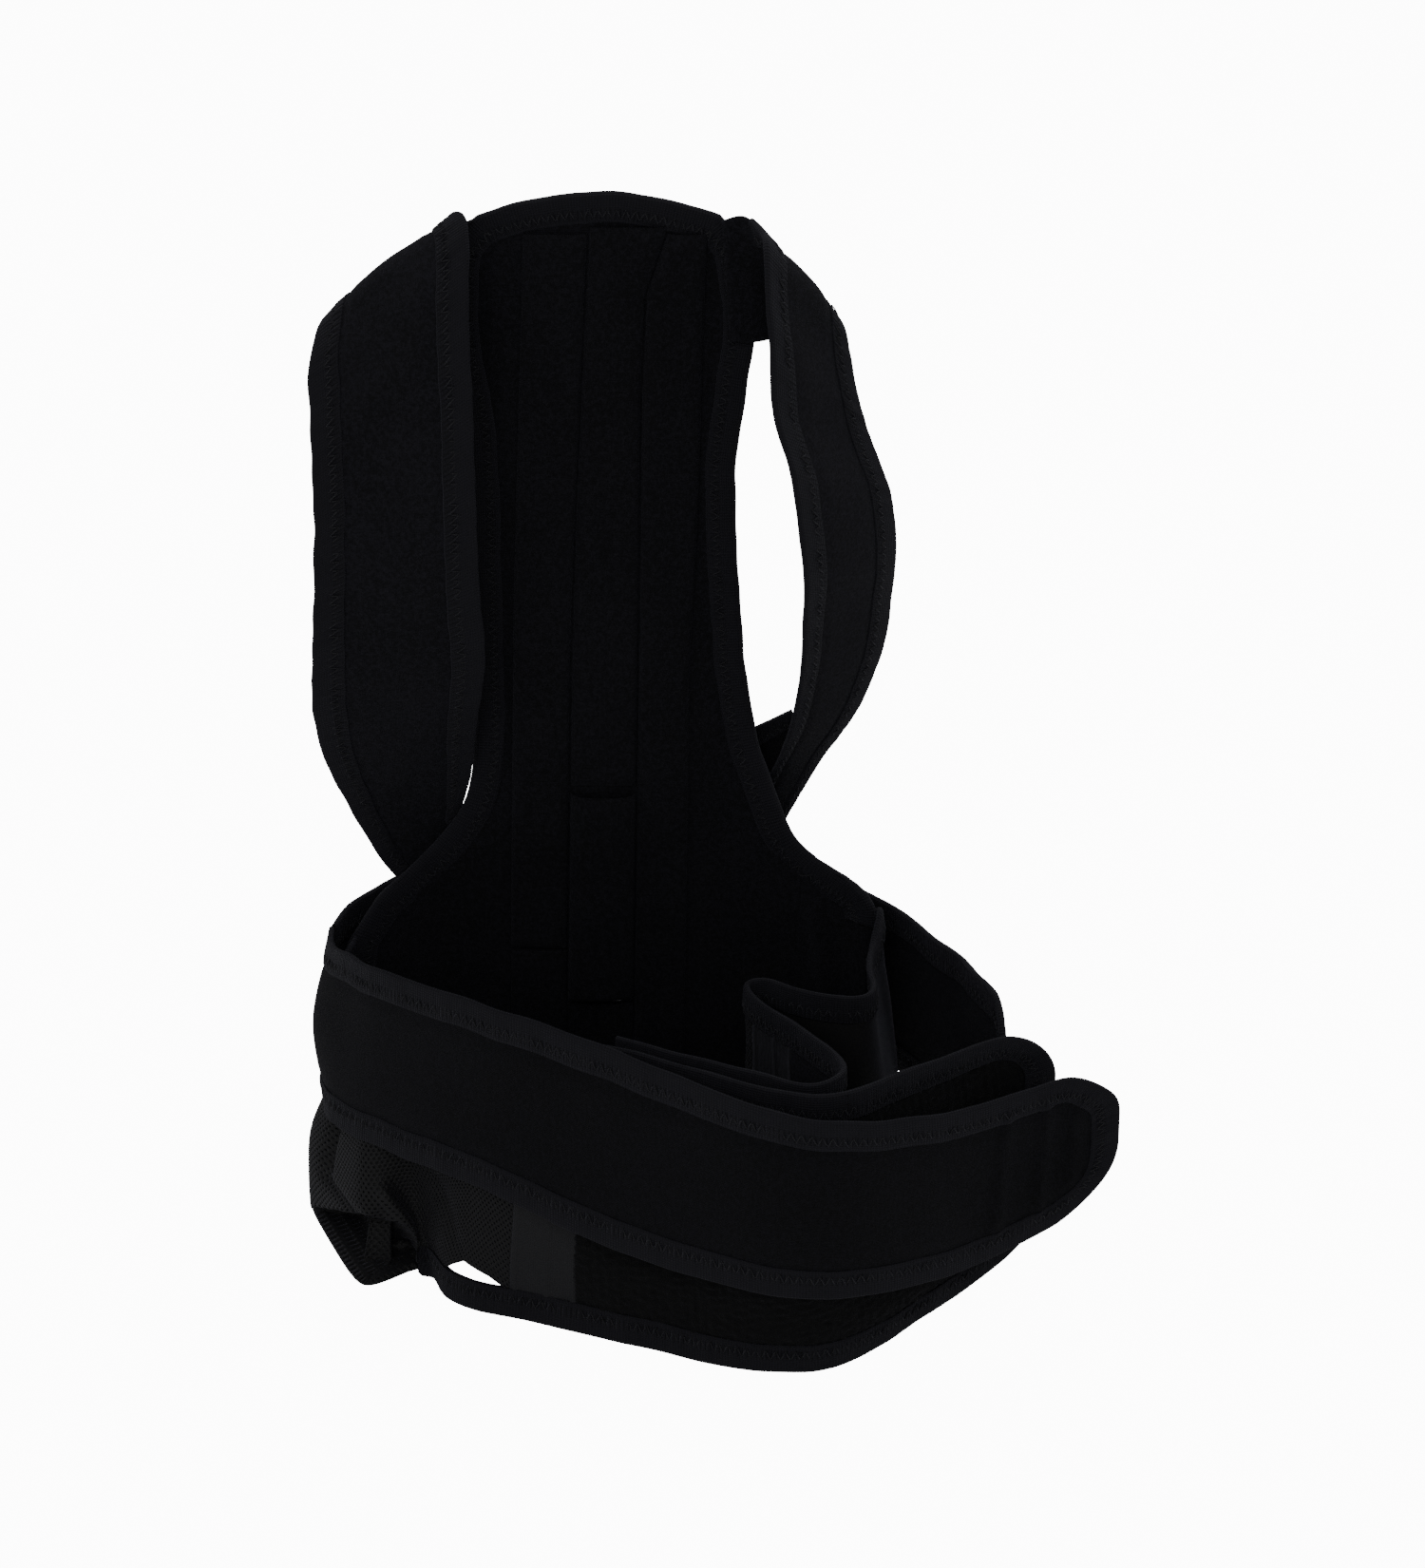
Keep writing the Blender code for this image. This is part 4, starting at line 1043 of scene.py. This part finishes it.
def tails():
    length, width = Strip(FRONT_TAIL).length, Strip(FRONT_TAIL).width
    folds = [
        crease((length - 0.064, 0.012), (length - 0.058, width - 0.010), 0.0034, 0.0019),
        crease((length - 0.041, 0.014), (length - 0.037, width - 0.012), 0.0030, 0.0020),
        crease((length - 0.024, 0.020), (length - 0.022, width - 0.022), 0.0038, 0.0014),
        bulge(0.020, 0.045, 0.020, 0.034, 0.0078),
        waves(0.0008, 0.08, 51),
    ]
    front = Strip(FRONT_TAIL, together(*folds))
    tailed_strap("front_tail", front, 0.034, (length - 0.105, length - 0.022), "front_tail")
    side = Strip(SIDE_TAIL, waves(0.0007, 0.06, 52))
    tailed_strap("side_tail", side, 0.026, (side.length - 0.080, side.length - 0.020), "side_tail")


def belt_half(name, strip, mesh_end, body, bend, low_edge=None):
    """The mesh side, a net over a closed backing, and the webbing band of a belt half. low_edge is
    the height of the mesh's lower edge where it has pulled away from the binding."""
    band_end = mesh_end + WEBBING_LENGTH
    top = strip.width - 0.009
    side = net(f"{name}_mesh_side_net", strip, (0.0, mesh_end), (0.001, top), low_edge)
    place_piece(side, body, [f"{name}_mesh_side"], bend)
    back = cloth(f"{name}_mesh_backing", strip, MESH, (0.0, mesh_end), 0.0, heights=(-0.0008, -0.0005),
                 band=(low_edge or 0.001, top), thin=0.9)
    place_piece(back, body, (), bend)
    seams = [mesh_end + 0.0015, mesh_end + WEBBING_LENGTH * 0.55, band_end - 0.0015]

    def ridges(s, t):
        return sum(0.0006 * np.exp(-(((s - seam_at) / 0.0009) ** 2)) for seam_at in seams)

    band = cloth(f"{name}_webbing", strip, WEBBING, span=(mesh_end - 0.001, band_end),
                 heights=(-0.0011, 0.0012), nap=ridges, step=0.0010, thin=0.6)
    place_piece(band, body, [f"{name}_webbing_band"], bend)
    return band_end


def left_belt():
    """The left half: its crumpled mesh side, and the pile-faced front with a rounded end."""
    crumple = together(
        bulge(0.015, 0.036, 0.013, 0.026, 0.0050),
        hollow(HOLLOW_RIM, (0.0832, 0.0256), (0.0925, 0.0010), 0.008, -0.021),
        crease((0.073, 0.0446), (0.0945, 0.0014), 0.0034, 0.0062),
        crease((0.038, 0.085), (0.030, 0.036), 0.0040, -0.0060),
        crease((0.028, 0.030), (0.074, 0.032), 0.0030, -0.0030),
        crease((0.104, 0.052), (0.125, 0.028), 0.0060, -0.0020),
        bulge(0.100, 0.060, 0.020, 0.030, 0.0022),
        waves(0.0010, 0.050, 61),
    )
    strip = Strip(BELT_LEFT, lambda s, t: crumple(s - LEFT_LEAD, t))
    tip, body = 0.030, "belt_left"
    bend = ("back_panel", body, (-0.131, -0.046, 0.074), (-0.131, -0.074, 0.074))
    band_end = belt_half("belt_left", strip, LEFT_LEAD + LEFT_MESH, body, bend,
                         lambda s: np.interp(s - LEFT_LEAD, *MESH_LIFT))
    span = (band_end - 0.0005, strip.length)
    pile = cloth("belt_left_pile", strip, PILE, span, tip=tip, heights=(0.0001, CLOTH_HALF),
                 nap=waves(0.00045, 0.0034, 62, 14), step=0.0014)
    place_piece(pile, body, ["belt_left_loop_panel"])
    lining = cloth("belt_left_lining_cloth", strip, KNIT, span, tip=tip, heights=(-CLOTH_HALF, -0.0001))
    place_piece(lining, body, ["belt_left_lining"])
    path = [(LEFT_LEAD + LOWER_BINDING_START, 0.0), *tip_path(strip, tip)[1:]]
    edge = bound_edge("belt_left_binding", strip.at, path, body,
                      ["belt_left_lower_binding", "belt_left_end_binding"], bend, seed=9)


def right_belt():
    """The right half stands in an S-fold. Its sewn end spreads outwards towards the floor."""
    x, y, spread, lift = BELT_RIGHT.T
    edges = np.stack([x + spread, y, 0 * x, x, y, BELT_HEIGHT + lift], 1)
    strip = Strip(edges, waves(0.0009, 0.06, 71))
    body = "belt_right"
    band_end = belt_half("belt_right", strip, RIGHT_LEAD + RIGHT_MESH, body, None)
    panel = cloth("belt_right_end_cloth", strip, KNIT, span=(band_end - 0.0005, strip.length))
    place_piece(panel, body, ["belt_right_end_panel"])
    trims = []
    for k, (edge, high) in enumerate((("lower", False), ("upper", True))):
        node = f"belt_right_{edge}_binding"
        trims += bound_edge(node, strip.at, edge_path(strip, high), body, [node], seed=12 + k)


def hidden_nodes():
    """The spring-steel stays keep their shapes, with brushed steel on them."""
    steel = steel_look()
    for side in ("left", "centre", "right"):
        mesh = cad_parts[f"stay_{side}"].data
        mesh.materials.clear()
        mesh.materials.append(steel)


# Stage


def area_light(name, location, target, size, watts):
    light = bpy.data.lights.new(name, "AREA")
    light.shape, light.size, light.energy = "DISK", size, watts
    obj = bpy.data.objects.new(name, light)
    obj.location = location
    obj.rotation_mode = "QUATERNION"
    obj.rotation_quaternion = (Vector(target) - Vector(location)).to_track_quat("-Z", "Y")
    bpy.context.scene.collection.objects.link(obj)


def stage():
    """Pale floor and surround, and soft studio light."""
    half, level = 6.0, -0.0002
    corners = [(-half, -half, level), (half, -half, level), (half, half, level), (-half, half, level)]
    floor = mesh_object("floor", corners, [(0, 1, 2, 3)], [c[:2] for c in corners], floor_look())
    world = bpy.data.worlds.new("studio")
    bpy.context.scene.world = world
    world.use_nodes = True
    surround = world.node_tree.nodes["Background"]
    surround.inputs["Color"].default_value = (1.0, 1.0, 1.0, 1.0)
    surround.inputs["Strength"].default_value = WORLD_STRENGTH
    output = world.node_tree.nodes["World Output"]
    seen_brighter(world.node_tree, "ShaderNodeBackground", surround.outputs[0], output)
    area_light("key_light", (-0.2, -2.0, 1.5), (0, 0, 0.2), 1.4, KEY_WATTS)
    area_light("fill_light", (1.6, -1.0, 1.3), (0, 0, 0.2), 1.6, FILL_WATTS)
    area_light("top_light", (0.1, 0.7, 2.2), (0, 0, 0.2), 1.0, TOP_WATTS)


def camera():
    elevation, distance = math.radians(25.0), 2.0
    aim = Vector((0.052, 0.0, 0.2065))
    view_height = 0.759  # metres that the frame's long side sees at the aim point
    data = bpy.data.cameras.new("camera")
    data.sensor_width = 36.0
    data.lens = data.sensor_width * distance / view_height
    obj = bpy.data.objects.new("camera", data)
    back = Vector((0.0, -math.cos(elevation), math.sin(elevation)))
    obj.location = aim + back * distance
    obj.rotation_mode = "QUATERNION"
    obj.rotation_quaternion = (-back).to_track_quat("-Z", "Y")
    bpy.context.scene.collection.objects.link(obj)
    bpy.context.scene.camera = obj


camera()
stage()
hidden_nodes()
back_panel()
shoulder_straps()
tails()
left_belt()
right_belt()
